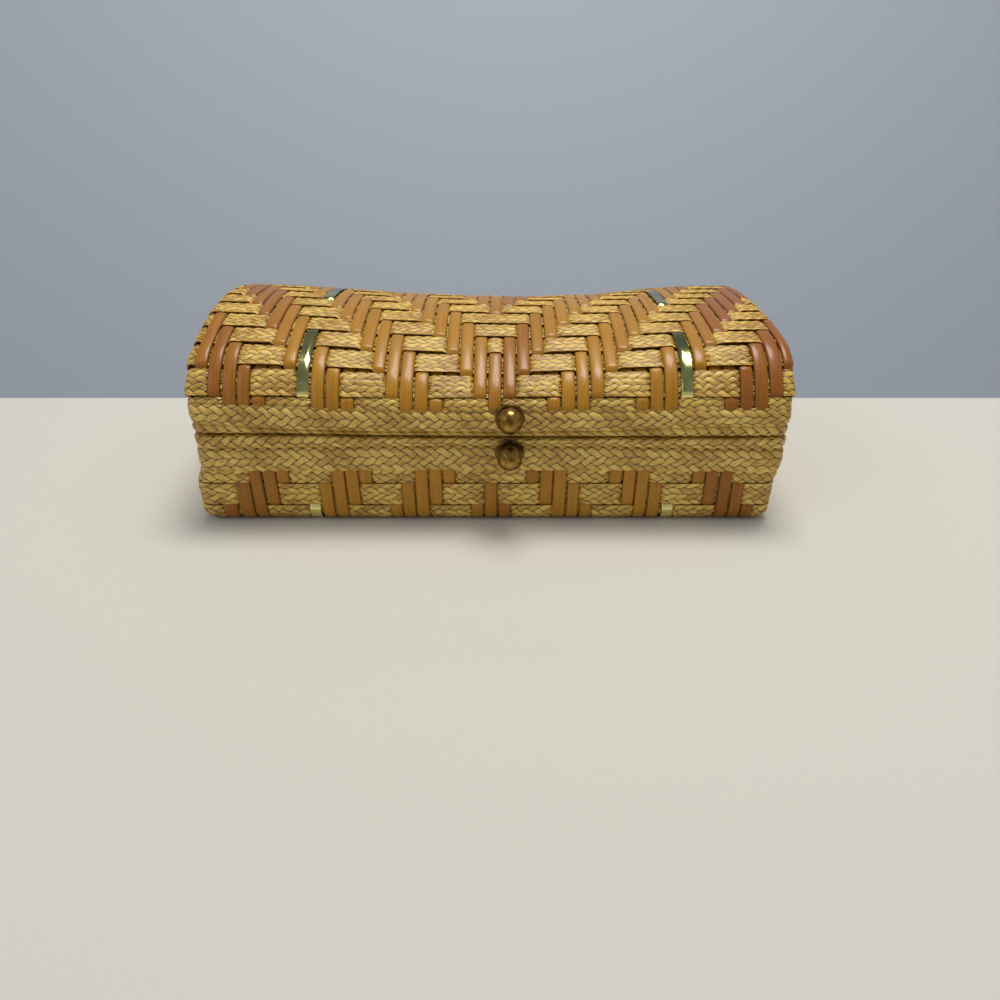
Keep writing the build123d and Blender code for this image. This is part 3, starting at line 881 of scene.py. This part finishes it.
def add_node(tree, kind, inputs, **settings):
    """A shader node with its settings and with what feeds it."""
    node = tree.nodes.new(f"ShaderNode{kind}")
    for setting, value in settings.items():
        setattr(node, setting, value)
    feed(tree, node, inputs)
    return node


def new_group(name, inputs, outputs):
    """A node group with its input sockets at their first values and its output sockets."""
    group = bpy.data.node_groups.new(name, "ShaderNodeTree")
    for socket, value in inputs.items():
        kind = "NodeSocketColor" if isinstance(value, tuple) else "NodeSocketFloat"
        group.interface.new_socket(socket, in_out="INPUT", socket_type=kind).default_value = value
    for socket in outputs:
        kind = "NodeSocketColor" if socket == "Color" else "NodeSocketFloat"
        group.interface.new_socket(socket, in_out="OUTPUT", socket_type=kind)
    return group, group.nodes.new("NodeGroupInput").outputs, group.nodes.new("NodeGroupOutput")


# %% A node group for plant fibre
mottle_strength = 0.5
mottle_middle = 0.25
crack_sharpness = 3.0


def fibre_group():
    """Streaks along the strand over its tone, a slow mottling, and shadow in the cracks."""
    first_values = {
        "Dark": (0.3, 0.2, 0.1, 1),
        "Light": (0.8, 0.6, 0.3, 1),
        "Shadow": (0.03, 0.012, 0.004, 1),
        "Streak width": 14.0,
        "Streak strength": 0.35,
        "Crack strength": 0.92,
    }
    group, given, result = new_group("plant_fibre", first_values, ("Color", "Height", "Rough"))
    uv = add_node(group, "UVMap", {}, uv_map="strand")
    scale = add_node(group, "CombineXYZ", {"X": given["Streak width"], "Y": 3.0})
    spread = add_node(
        group, "VectorMath", {0: uv.outputs["UV"], 1: scale.outputs["Vector"]}, operation="MULTIPLY"
    )
    streak = add_node(group, "TexNoise", {"Vector": spread.outputs["Vector"], "Scale": 1.0, "Detail": 4.0})
    place = add_node(group, "TexCoord", {})
    mottle = add_node(group, "TexNoise", {"Vector": place.outputs["Object"], "Scale": 90.0, "Detail": 3.0})
    contrast = {"From Min": 0.3, "From Max": 0.7, "To Min": -1.0, "To Max": 1.0}
    streak_part = add_node(group, "MapRange", {"Value": streak.outputs["Fac"], **contrast})
    tone = add_node(group, "Attribute", {}, attribute_name="tone")
    lift = add_node(
        group,
        "Math",
        {0: streak_part.outputs["Result"], 1: given["Streak strength"], 2: tone.outputs["Fac"]},
        operation="MULTIPLY_ADD",
    )
    patch = add_node(
        group,
        "Math",
        {0: mottle.outputs["Fac"], 1: mottle_strength, 2: lift.outputs["Value"]},
        operation="MULTIPLY_ADD",
    )
    share = add_node(
        group, "Math", {0: patch.outputs["Value"], 1: mottle_middle}, operation="SUBTRACT", use_clamp=True
    )
    fibre = add_node(
        group,
        "Mix",
        {"Factor": share.outputs["Value"], "A": given["Dark"], "B": given["Light"]},
        data_type="RGBA",
    )
    crack = add_node(group, "Attribute", {}, attribute_name="crack")
    thin = add_node(group, "Math", {0: crack.outputs["Fac"], 1: crack_sharpness}, operation="POWER")
    depth = add_node(
        group, "Math", {0: thin.outputs["Value"], 1: given["Crack strength"]}, operation="MULTIPLY"
    )
    shade = add_node(
        group,
        "Mix",
        {"Factor": depth.outputs["Value"], "A": fibre.outputs["Result"], "B": given["Shadow"]},
        data_type="RGBA",
    )
    rough = add_node(group, "MapRange", {"Value": streak.outputs["Fac"], "To Min": 0.32, "To Max": 0.55})
    feed(group, result, {
        "Color": shade.outputs["Result"],
        "Height": streak.outputs["Fac"],
        "Rough": rough.outputs["Result"],
    })
    return group


fibres = fibre_group()
print("nodes in the fibre group:", len(fibres.nodes))


# %% Colours and new materials
def srgb(r, g, b):
    """A colour written as seen, turned to the linear values that a shader takes."""
    def linear(c):
        c /= 255
        return c / 12.92 if c <= 0.04045 else ((c + 0.055) / 1.055) ** 2.4
    return (linear(r), linear(g), linear(b), 1.0)


def new_material(name, **values):
    """A material with its Principled shader's sockets set."""
    material = bpy.data.materials.new(name)
    material.use_nodes = True
    shader = material.node_tree.nodes["Principled BSDF"]
    feed(material.node_tree, shader, {socket.replace("_", " "): value for socket, value in values.items()})
    return material, shader


# %% Straw and cane
fibre_relief = 0.0002


def fibre_material(name, dark, light, streak_strength, bump, **values):
    """A plant material that reads the fibre group."""
    material, shader = new_material(name, **values)
    tree = material.node_tree
    looks = {"Dark": dark, "Light": light, "Streak width": 7.0, "Streak strength": streak_strength}
    group = add_node(tree, "Group", looks, node_tree=fibres).outputs
    relief = add_node(tree, "Bump", {"Strength": bump, "Distance": fibre_relief, "Height": group["Height"]})
    feed(tree, shader, {
        "Base Color": group["Color"],
        "Roughness": group["Rough"],
        "Normal": relief.outputs["Normal"],
    })
    return material


straw_finish = fibre_material("straw_plait", srgb(156, 102, 22), srgb(244, 206, 98), 0.34, 0.6)
band_straw_finish = fibre_material("band_straw_plait", srgb(168, 118, 36), srgb(240, 204, 104), 0.34, 0.6)
varnish = {"Coat_Weight": 0.22, "Coat_Roughness": 0.16, "Specular_IOR_Level": 0.3}
cane_finish = fibre_material("varnished_cane", srgb(178, 124, 14), srgb(146, 82, 8), 0.26, 0.25, **varnish)
print("materials of the weave:", [m.name for m in (straw_finish, band_straw_finish, cane_finish)])

# %% [markdown]
# ## Weaving the lid and the tray
# With the rows, the heights and the two kinds of strip ready, the weaving itself is a few loops. One
# cane on each side of the middle is left out, because a gilded strip takes its place and is kept as
# a piece of its own.

# %% Laying the canes
cane_thickness = 1.15
gold_cane = 13
for wall in walls:
    strips = []
    for number in cane_numbers:
        if abs(number) != gold_cane:
            strips.append(cane_arrays(wall, number, 100 + number, cane_width, cane_thickness))
    piece = settle(f"{wall}_canes", join_arrays(strips), wall, cane_finish)

# %% Laying the plaits of the lid
lid_strips = [lid_row_plait(row, start, end) for row, (start, end) in lid_long_rows.items()]
lid_strips.append(ring_plait("lid", 0, max(lid_rows), 0, 40))
lid_plaits = settle("lid_plaits", join_arrays(lid_strips), "lid", straw_finish)

# %% Laying the plaits of the tray
tray_strips = [tray_row_plait(row, start, end) for row, (start, end) in tray_long_rows.items()]
for level, row in enumerate((7, 6, 5)):
    back_row = max(tray_rows) + tray_first_number - row
    tray_strips.append(ring_plait("tray", row, back_row, level, 70 + row))
tray_plaits = settle("tray_plaits", join_arrays(tray_strips), "tray", straw_finish)
for piece, node in ((lid_plaits, "lid_woven_cover"), (tray_plaits, "tray_woven_wall")):
    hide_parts(node)

# %% [markdown]
# ## Bands and rims
# A plait is sewn round each rim over the ends of the canes, and a narrower one is folded over the
# edge itself. An array of one modelled link could follow the rim, but it would break the strands at
# each joint. They are the same lattice, laid along a path in the cross-section of the rim.

# %% How the borders of the rims wander
rim_places = (-107, -98, -74, -58, -40, 0, 40, 75, 107)
seam_shift = (0.5, 0.45, 0.3, 0.1, -0.3, -0.75, -0.8, -0.75, -0.7)
lid_band_low_shift = (1.6, 1.5, -0.5, -0.9, -1.3, -1.4, -1.1, 0.5, 0.8)
lid_band_top_shift = (1.9, 1.6, 0.9, 0.0, -0.7, -1.0, -0.8, -0.1, 0.1)
tray_band_top_shift = (-0.8, -0.7, -0.5, -0.2, 0.2, 0.5, 0.2, -0.7, -0.9)
tray_band_low_shift = tuple(0.5 * shift for shift in tray_band_top_shift)
rim_stray = 0.12


def rim_shift(x, z, heights, shifts):
    """How far the rims' borders wander up or down, between heights where the wander is known."""
    at = [np.interp(x, rim_places, shift) for shift in shifts]
    total = np.zeros_like(x)
    for i in range(len(heights) - 1):
        share = np.clip((z - heights[i]) / (heights[i + 1] - heights[i]), 0, 1)
        inside = (z >= heights[i]) & ((z < heights[i + 1]) | (i == len(heights) - 2))
        total = np.where(inside, at[i] * (1 - share) + at[i + 1] * share, total)
    return np.where(z < heights[0], at[0], total) + rim_stray * waves(x / 14, z / 9, 31)


print("the seam dips from its left end by", round(seam_shift[0] - min(seam_shift), 2), "mm")

# %% Where a rim plait lies
lid_rim_heights = (36.6, 38.6, 46.2)
tray_rim_heights = (21.9, 31.2, 35.3)
band_swell = 0.35


def on_lid_rim(t, inset, z, flat, up, h):
    """A point near the lid's rim: the front leans back above the spring line, the ends stand upright."""
    radius = arch(ring_place(t)[0])[1]
    turn = np.arcsin(np.clip((z - spring) / radius, 0, 0.9))
    tilt = np.where(flat > 0.7, np.sin(turn), up)
    px, py, pz = ring(t, inset + radius * (1 - np.cos(turn)), inset, z, (flat, tilt), (flat, up), h)
    shift = rim_shift(px, z, lid_rim_heights, (seam_shift, lid_band_low_shift, lid_band_top_shift))
    return np.stack([px, py, pz + shift], axis=-1)


def on_tray_rim(t, inset, z, flat, up, h):
    """A point near the tray's rim, which stands upright all round."""
    px, py, pz = ring(t, inset, inset, z, (flat, up), (flat, up), h)
    shift = rim_shift(px, z, tray_rim_heights, (tray_band_low_shift, tray_band_top_shift, seam_shift))
    return np.stack([px, py, pz + shift], axis=-1)


def swollen(place_on, low, high):
    """Lets a band swell in the middle of its width."""
    def place(t, inset, z, flat, up, h):
        swell = band_swell * np.sin(math.pi * np.clip((z - low) / (high - low), 0, 1))
        return place_on(t, inset, z, flat, up, h + swell)
    return place


# %% A plait along a path in the rim's cross-section
band_relief = 0.3
band_thickness = 0.6
path_step = 0.02


def band_plait(path, half_cells, place_on, seed):
    """A plait round the box, laid along a cross-section given as (inset, height) points."""
    insets, heights = np.array(path, dtype=float).T
    lengths = np.concatenate([[0], np.cumsum(np.hypot(np.diff(insets), np.diff(heights)))])
    lengths /= lengths[-1]

    def place(u, v, h):
        ahead = np.clip(v + path_step, 0, 1)
        behind = np.clip(v - path_step, 0, 1)
        along_inset = np.interp(ahead, lengths, insets) - np.interp(behind, lengths, insets)
        along_z = np.interp(ahead, lengths, heights) - np.interp(behind, lengths, heights)
        size = np.hypot(along_inset, along_z) + 1e-9
        inset = np.interp(v, lengths, insets)
        z = np.interp(v, lengths, heights)
        return place_on(u, inset, z, along_z / size, along_inset / size, h)

    return plait_arrays(
        ring_length, half_cells, place, seed, closed=True, thickness=band_thickness, relief=band_relief
    )


# %% The bands and the folded edge plaits
lid_band_path = [(0.1, lid_band[0] - 0.1), (-0.75, lid_band[0] + 0.8), (-0.75, lid_band[1])]
tray_band_path = [(-0.75, tray_band[0]), (-0.75, tray_band[1] - 0.8), (0.1, tray_band[1] + 0.1)]
lid_edge_path = [(4.4, 36.55), (0.0, 36.5), (-0.85, 36.9), (-0.95, 37.7), (0.1, 38.7)]
tray_edge_path = [(0.1, 31.1), (-0.95, 32.2), (-0.95, 34.6), (0.0, 35.4), (4.4, 35.45)]
rims = {
    "lid_band": (lid_band_path, 6, swollen(on_lid_rim, *lid_band), "lid", 81),
    "tray_band": (tray_band_path, 6, swollen(on_tray_rim, *tray_band), "tray", 82),
    "lid_edge": (lid_edge_path, 5, on_lid_rim, "lid", 83),
    "tray_edge": (tray_edge_path, 6, on_tray_rim, "tray", 84),
}
for name, (path, half_cells, place_on, body, seed) in rims.items():
    piece = settle(f"{name}_plait", band_plait(path, half_cells, place_on, seed), body, band_straw_finish)
    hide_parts(f"{name}_braid")

# %% [markdown]
# ## The gilded strips
# One cane on each side of the middle is a strip of gilded foil instead. It is flat and thin, and
# dives under the plaits as the canes do, so the same sweep makes it with a flat section. The foil is
# rubbed and scratched. A second node group gives that wear, and the brass, the board and the cotton
# use it later with their own values.


# %% A node group for worn surfaces
def worn_group():
    """A slow mottling from clean to worn, for metal, board and cloth."""
    first_values = {"Clean": (0.8, 0.6, 0.3, 1), "Worn": (0.3, 0.2, 0.1, 1), "Scale": 300.0, "Amount": 0.5}
    group, given, result = new_group("worn_surface", first_values, ("Color", "Height", "Mask"))
    place = add_node(group, "TexCoord", {})
    noise = add_node(
        group, "TexNoise", {"Vector": place.outputs["Object"], "Scale": given["Scale"], "Detail": 5.0}
    )
    spread = add_node(group, "MapRange", {"Value": noise.outputs["Fac"], "From Min": 0.35, "From Max": 0.65})
    amount = add_node(group, "Math", {0: spread.outputs["Result"], 1: given["Amount"]}, operation="MULTIPLY")
    mix = add_node(
        group,
        "Mix",
        {"Factor": amount.outputs["Value"], "A": given["Clean"], "B": given["Worn"]},
        data_type="RGBA",
    )
    feed(group, result, {
        "Color": mix.outputs["Result"],
        "Height": noise.outputs["Fac"],
        "Mask": spread.outputs["Result"],
    })
    return group


worn = worn_group()
print("nodes in the worn group:", len(worn.nodes))

# %% Materials that follow the worn group
fine_relief = 0.0001


def place_worn(tree, clean, old, scale, amount):
    """The worn group's outputs in a material, with the material's own values."""
    looks = {"Clean": clean, "Worn": old, "Scale": scale, "Amount": amount}
    return add_node(tree, "Group", looks, node_tree=worn).outputs


def worn_material(name, clean, old, scale, amount, bump, rough, **values):
    """A material whose colour and roughness follow the worn group."""
    material, shader = new_material(name, **values)
    tree = material.node_tree
    group = place_worn(tree, clean, old, scale, amount)
    gloss = add_node(tree, "MapRange", {"Value": group["Mask"], "To Min": rough[0], "To Max": rough[1]})
    relief = add_node(tree, "Bump", {"Strength": bump, "Distance": fine_relief, "Height": group["Height"]})
    feed(tree, shader, {
        "Base Color": group["Color"],
        "Roughness": gloss.outputs["Result"],
        "Normal": relief.outputs["Normal"],
    })
    return material


# %% The gilding, with a painted reflection of the table low down
table_reflection_heights = (0.0518, 0.0512)


def paint_table_reflection(material):
    """Paints a pale gold reflection of the table on the foil where it faces the table, low on the first lid
    row and on the tray.
    """
    tree = material.node_tree
    shader = tree.nodes["Principled BSDF"]
    dark = shader.inputs["Base Color"].links[0].from_socket
    place = add_node(tree, "TexCoord", {})
    parts = add_node(tree, "SeparateXYZ", {"Vector": place.outputs["Object"]})
    above, below = table_reflection_heights
    low = add_node(tree, "MapRange", {"Value": parts.outputs["Z"], "From Min": above, "From Max": below})
    # painted reflection: pale gold mixed into the foil's colour by height, where the foil faces the table
    mix = add_node(
        tree,
        "Mix",
        {"Factor": low.outputs["Result"], "A": dark, "B": srgb(238, 222, 140)},
        data_type="RGBA",
    )
    feed(tree, shader, {"Base Color": mix.outputs["Result"]})


gilded = worn_material(
    "gilded_strip", srgb(176, 172, 112), srgb(96, 104, 66), 90, 0.9, 0.1, (0.1, 0.2), Metallic=1.0
)
paint_table_reflection(gilded)
print("gilding:", gilded.name, "with", len(gilded.node_tree.nodes), "nodes")

# %% Laying the gilded strips
strip_width = 4.1
strip_thickness = 0.4
for wall in walls:
    for side, name in ((-1, "left"), (1, "right")):
        strip = cane_arrays(wall, side * gold_cane, 200 + side, strip_width, strip_thickness, flat=True)
        piece = settle(f"{wall}_gilded_strip_{name}", strip, wall, gilded)
        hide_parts(f"{wall}_gold_strips_{name}")

# %% [markdown]
# ## The board and the lining
# A formed board carries the lid's weave, and each half is lined with plain cotton glued to its board.
# A cloth simulation would leave the cotton slack, and the real one is drawn tight, so board and
# cotton are bent from a grid at an even distance inside the weave and given their thickness.

# %% A shell inside a half
shell_stations = 45
shell_smooth_angle = 40


def shell_faces(stations, count):
    """Faces between the stations of a shell, and a wall across each end."""
    faces = []
    for i in range(stations - 1):
        for j in range(count - 1):
            a = i * count + j
            faces.append((a, a + 1, a + count + 1, a + count))
    for station in (0, stations - 1):
        base = station * count
        for j in range(count // 2 - (0 if count % 2 else 1)):
            quad = [base + j, base + j + 1, base + count - 2 - j, base + count - 1 - j]
            quad = list(dict.fromkeys(quad))
            faces.append(tuple(quad if station else reversed(quad)))
    return faces


def inner_shell(name, body, path_at, inset, thickness, node):
    """A shell along a cross-section path, closed by an end wall at each end of the bag."""
    length = half_length - inset
    xs = np.linspace(-length, length, shell_stations)
    points = [(x, y, z) for x in xs for y, z in path_at(x)]
    piece = new_piece(name, points, shell_faces(len(xs), len(path_at(0.0))))
    bpy.ops.object.mode_set(mode="EDIT")
    bpy.ops.mesh.select_all(action="SELECT")
    bpy.ops.mesh.normals_make_consistent(inside=False)
    bpy.ops.object.mode_set(mode="OBJECT")
    solid = piece.modifiers.new("thickness", "SOLIDIFY")
    solid.thickness = thickness * MM
    solid.offset = 0
    bpy.ops.object.modifier_apply(modifier=solid.name)
    bpy.ops.object.shade_smooth_by_angle(angle=math.radians(shell_smooth_angle))
    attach(piece, body)
    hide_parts(node)
    print(name, "area", round(sum(p.area for p in piece.data.polygons) / 2, 4), "m2")
    return piece


# %% The formed board of the lid
board_inset = 3.25
board_thickness = 1.6
vault_start = 0.4
vault_points = 60


def vault_at(inset):
    """The arch of the lid at an inset, as a function of the place along the bag."""
    def path(x):
        s = np.linspace(vault_start, lid_girth - vault_start, vault_points)
        y, z, ny, nz = lid_profile(s, np.full_like(s, x))
        return list(zip(y - inset * ny, z - inset * nz))
    return path


lid_formed_board = inner_shell(
    "lid_formed_board", "lid", vault_at(board_inset), board_inset, board_thickness,
    node="lid_board",
)

# %% The cotton linings
lining_inset = 4.6
cotton_thickness = 0.5
side_y = half_depth - lining_inset
floor_z = tray_floor + lining_inset
fillet = 0.8
trough = [(-side_y, 34.75), (-side_y, 20.0)]
trough += [(-side_y, floor_z + fillet), (-side_y + fillet, floor_z), (-30, floor_z)]
trough = trough + [(-y, z) for y, z in reversed(trough)]
lid_lining = inner_shell(
    "lid_lining_cloth", "lid", vault_at(lining_inset), lining_inset, cotton_thickness,
    node="lid_lining",
)
tray_lining = inner_shell(
    "tray_lining_cloth", "tray", lambda x: trough, lining_inset, cotton_thickness,
    node="tray_lining",
)

# %% [markdown]
# ## Metal, board and cloth
# The knobs are old brass with a brown film, bright where fingers rub them. Hinges and rivets are a
# cleaner brass. The board and the hoops hardly show, but they still get paper and wood. The nodes'
# own shapes stay as the CAD made them, so only their materials are changed.

# %% Materials of the fittings
aged_brass = worn_material(
    "aged_brass", srgb(176, 136, 66), srgb(74, 52, 26), 500, 0.8, 0.2, (0.16, 0.36), Metallic=1.0
)
dark_brass = worn_material(
    "dark_brass", srgb(120, 92, 52), srgb(54, 40, 26), 400, 0.8, 0.2, (0.3, 0.5), Metallic=1.0
)
hinge_brass = worn_material(
    "hinge_brass", srgb(205, 168, 96), srgb(140, 108, 60), 400, 0.6, 0.15, (0.2, 0.38), Metallic=1.0
)
board = worn_material("grey_board", srgb(150, 132, 105), srgb(120, 102, 78), 250, 0.8, 0.4, (0.8, 0.9))
hoop_wood = worn_material("split_cane_hoop", srgb(92, 58, 34), srgb(60, 36, 22), 160, 0.8, 0.4, (0.55, 0.7))
print("materials of the fittings:", [m.name for m in (aged_brass, dark_brass, hinge_brass, board, hoop_wood)])

# %% Cotton
thread_scale = 900


def cloth_material():
    """Plain woven cotton: a fine grid of threads over a faint stain."""
    material, shader = new_material("cotton_lining", Sheen_Weight=0.2, Roughness=0.85)
    tree = material.node_tree
    group = place_worn(tree, srgb(214, 196, 160), srgb(190, 168, 130), 30, 0.6)
    place = add_node(tree, "TexCoord", {})
    thread = {"Vector": place.outputs["Object"], "Scale": thread_scale, "Distortion": 0.5}
    weft, warp = [add_node(tree, "TexWave", thread, bands_direction=way).outputs["Fac"] for way in "XY"]
    both = add_node(tree, "Math", {0: weft, 1: warp}, operation="ADD")
    relief = add_node(
        tree, "Bump", {"Strength": 0.3, "Distance": fine_relief, "Height": both.outputs["Value"]}
    )
    feed(tree, shader, {"Base Color": group["Color"], "Normal": relief.outputs["Normal"]})
    return material


cotton = cloth_material()
lid_formed_board.data.materials.append(board)
for piece in (lid_lining, tray_lining):
    piece.data.materials.append(cotton)
print("cotton on", lid_lining.name, "and", tray_lining.name)

# %% Finishing the CAD nodes that stay
finish_of = {
    "ball_knob": aged_brass,
    "knob_collar": dark_brass,
    "knob_washer": aged_brass,
    "hinge": hinge_brass,
    "catch": hinge_brass,
    "board": board,
    "hoop": hoop_wood,
}
for name, node in nodes.items():
    for word, material in finish_of.items():
        if word in name:
            node.data.materials.clear()
            node.data.materials.append(material)
print("finished nodes:", sum(any(word in name for word in finish_of) for name in nodes))

# %% [markdown]
# ## Floor, light and camera
# The bag stands on a pale cloth-covered table in front of a grey wall. A large soft lamp from above
# right and the sky-like world give soft light with a small highlight on the canes. The table's far
# edge is rolled with short extrusions, because a sharp one would draw a hard line behind the bag.

# %% The floor
table_size = 4.0
table_edge = 0.062
table_roll = 0.016
table_drop = 0.6
roll_steps = 6
roll_step = 15


def extrude(y, z):
    """Draws the selected edge out, back and up by the given metres."""
    bpy.ops.mesh.extrude_region_move(TRANSFORM_OT_translate={"value": (0, y, z)})


bpy.ops.mesh.primitive_plane_add(size=table_size, location=(0, table_edge - table_size / 2, 0))
floor = bpy.context.object
floor.name = "floor"
bpy.ops.object.mode_set(mode="EDIT")
bpy.ops.mesh.select_all(action="DESELECT")
bpy.ops.mesh.select_mode(type="EDGE")
bpy.ops.object.mode_set(mode="OBJECT")
for edge in floor.data.edges:
    edge.select = all(floor.data.vertices[v].co.y > table_size / 4 for v in edge.vertices)
bpy.ops.object.mode_set(mode="EDIT")
chord = table_roll * 2 * math.sin(math.radians(roll_step / 2))
for turn in range(roll_steps):
    angle = math.radians(roll_step / 2 + roll_step * turn)
    extrude(chord * math.cos(angle), -chord * math.sin(angle))
extrude(0, -table_drop)
bpy.ops.mesh.select_all(action="SELECT")
bpy.ops.mesh.normals_make_consistent(inside=False)
bpy.ops.object.mode_set(mode="OBJECT")
bpy.ops.object.shade_smooth_by_angle(angle=math.radians(40))
print("floor:", len(floor.data.polygons), "faces")

# %% The backdrop, and both staged
wall_place = (0, 1.1, 0.6)
bpy.ops.mesh.primitive_plane_add(size=table_size, location=wall_place, rotation=(math.pi / 2, 0, 0))
backdrop = bpy.context.object
backdrop.name = "backdrop"
for piece, name, colour, rough in (
    (floor, "pale_table", srgb(208, 205, 193), 0.9),
    (backdrop, "grey_wall", srgb(204, 211, 220), 0.95),
):
    piece.data.materials.append(new_material(name, Roughness=rough, Base_Color=colour)[0])
    pick(piece)
    bpy.ops.object.transform_apply(location=True, rotation=True, scale=True)
print("staged:", floor.name, "and", backdrop.name)


# %% Lamps and world
def area_lamp(name, place, target, size, power, colour):
    """A soft rectangular lamp that looks at a target."""
    data = bpy.data.lights.new(name, "AREA")
    data.shape = "RECTANGLE"
    data.size, data.size_y = size
    data.energy = power
    data.color = colour
    lamp = bpy.data.objects.new(name, data)
    bpy.context.scene.collection.objects.link(lamp)
    lamp.location = place
    way = np.array(target) - np.array(place)
    tilt = math.acos(-way[2] / np.linalg.norm(way))
    lamp.rotation_euler = (tilt, 0, math.atan2(way[1], way[0]) - math.pi / 2)


area_lamp("ceiling_lamp", (0.12, 0.22, 1.2), (0, 0, 0), (0.55, 0.45), 11.0, (1.0, 0.98, 0.95))
area_lamp("window_lamp", (-1.2, -0.7, 1.1), (0, 0, 0), (0.9, 0.7), 2.8, (0.95, 0.97, 1.0))
world = bpy.data.worlds.new("soft_room")
bpy.context.scene.world = world
world.use_nodes = True
feed(world.node_tree, world.node_tree.nodes["Background"], {"Color": (0.92, 0.95, 1.0, 1), "Strength": 0.42})
print("lamps:", [lamp.name for lamp in bpy.data.lights])

# %% The camera
camera_place = (3.5, -305.4, 149.8)
camera_dip = 29.77
camera_data = bpy.data.cameras.new("camera")
camera_data.sensor_width = 36.0
camera_data.lens = 27.04
camera_data.clip_start = 0.01
camera = bpy.data.objects.new("camera", camera_data)
bpy.context.scene.collection.objects.link(camera)
camera.location = [v * MM for v in camera_place]
camera.rotation_euler = (math.radians(90 - camera_dip), 0, 0)
bpy.context.scene.camera = camera
bpy.context.scene.view_settings.view_transform = "Standard"
print("camera at", camera_place, "mm, looking down", camera_dip, "degrees")
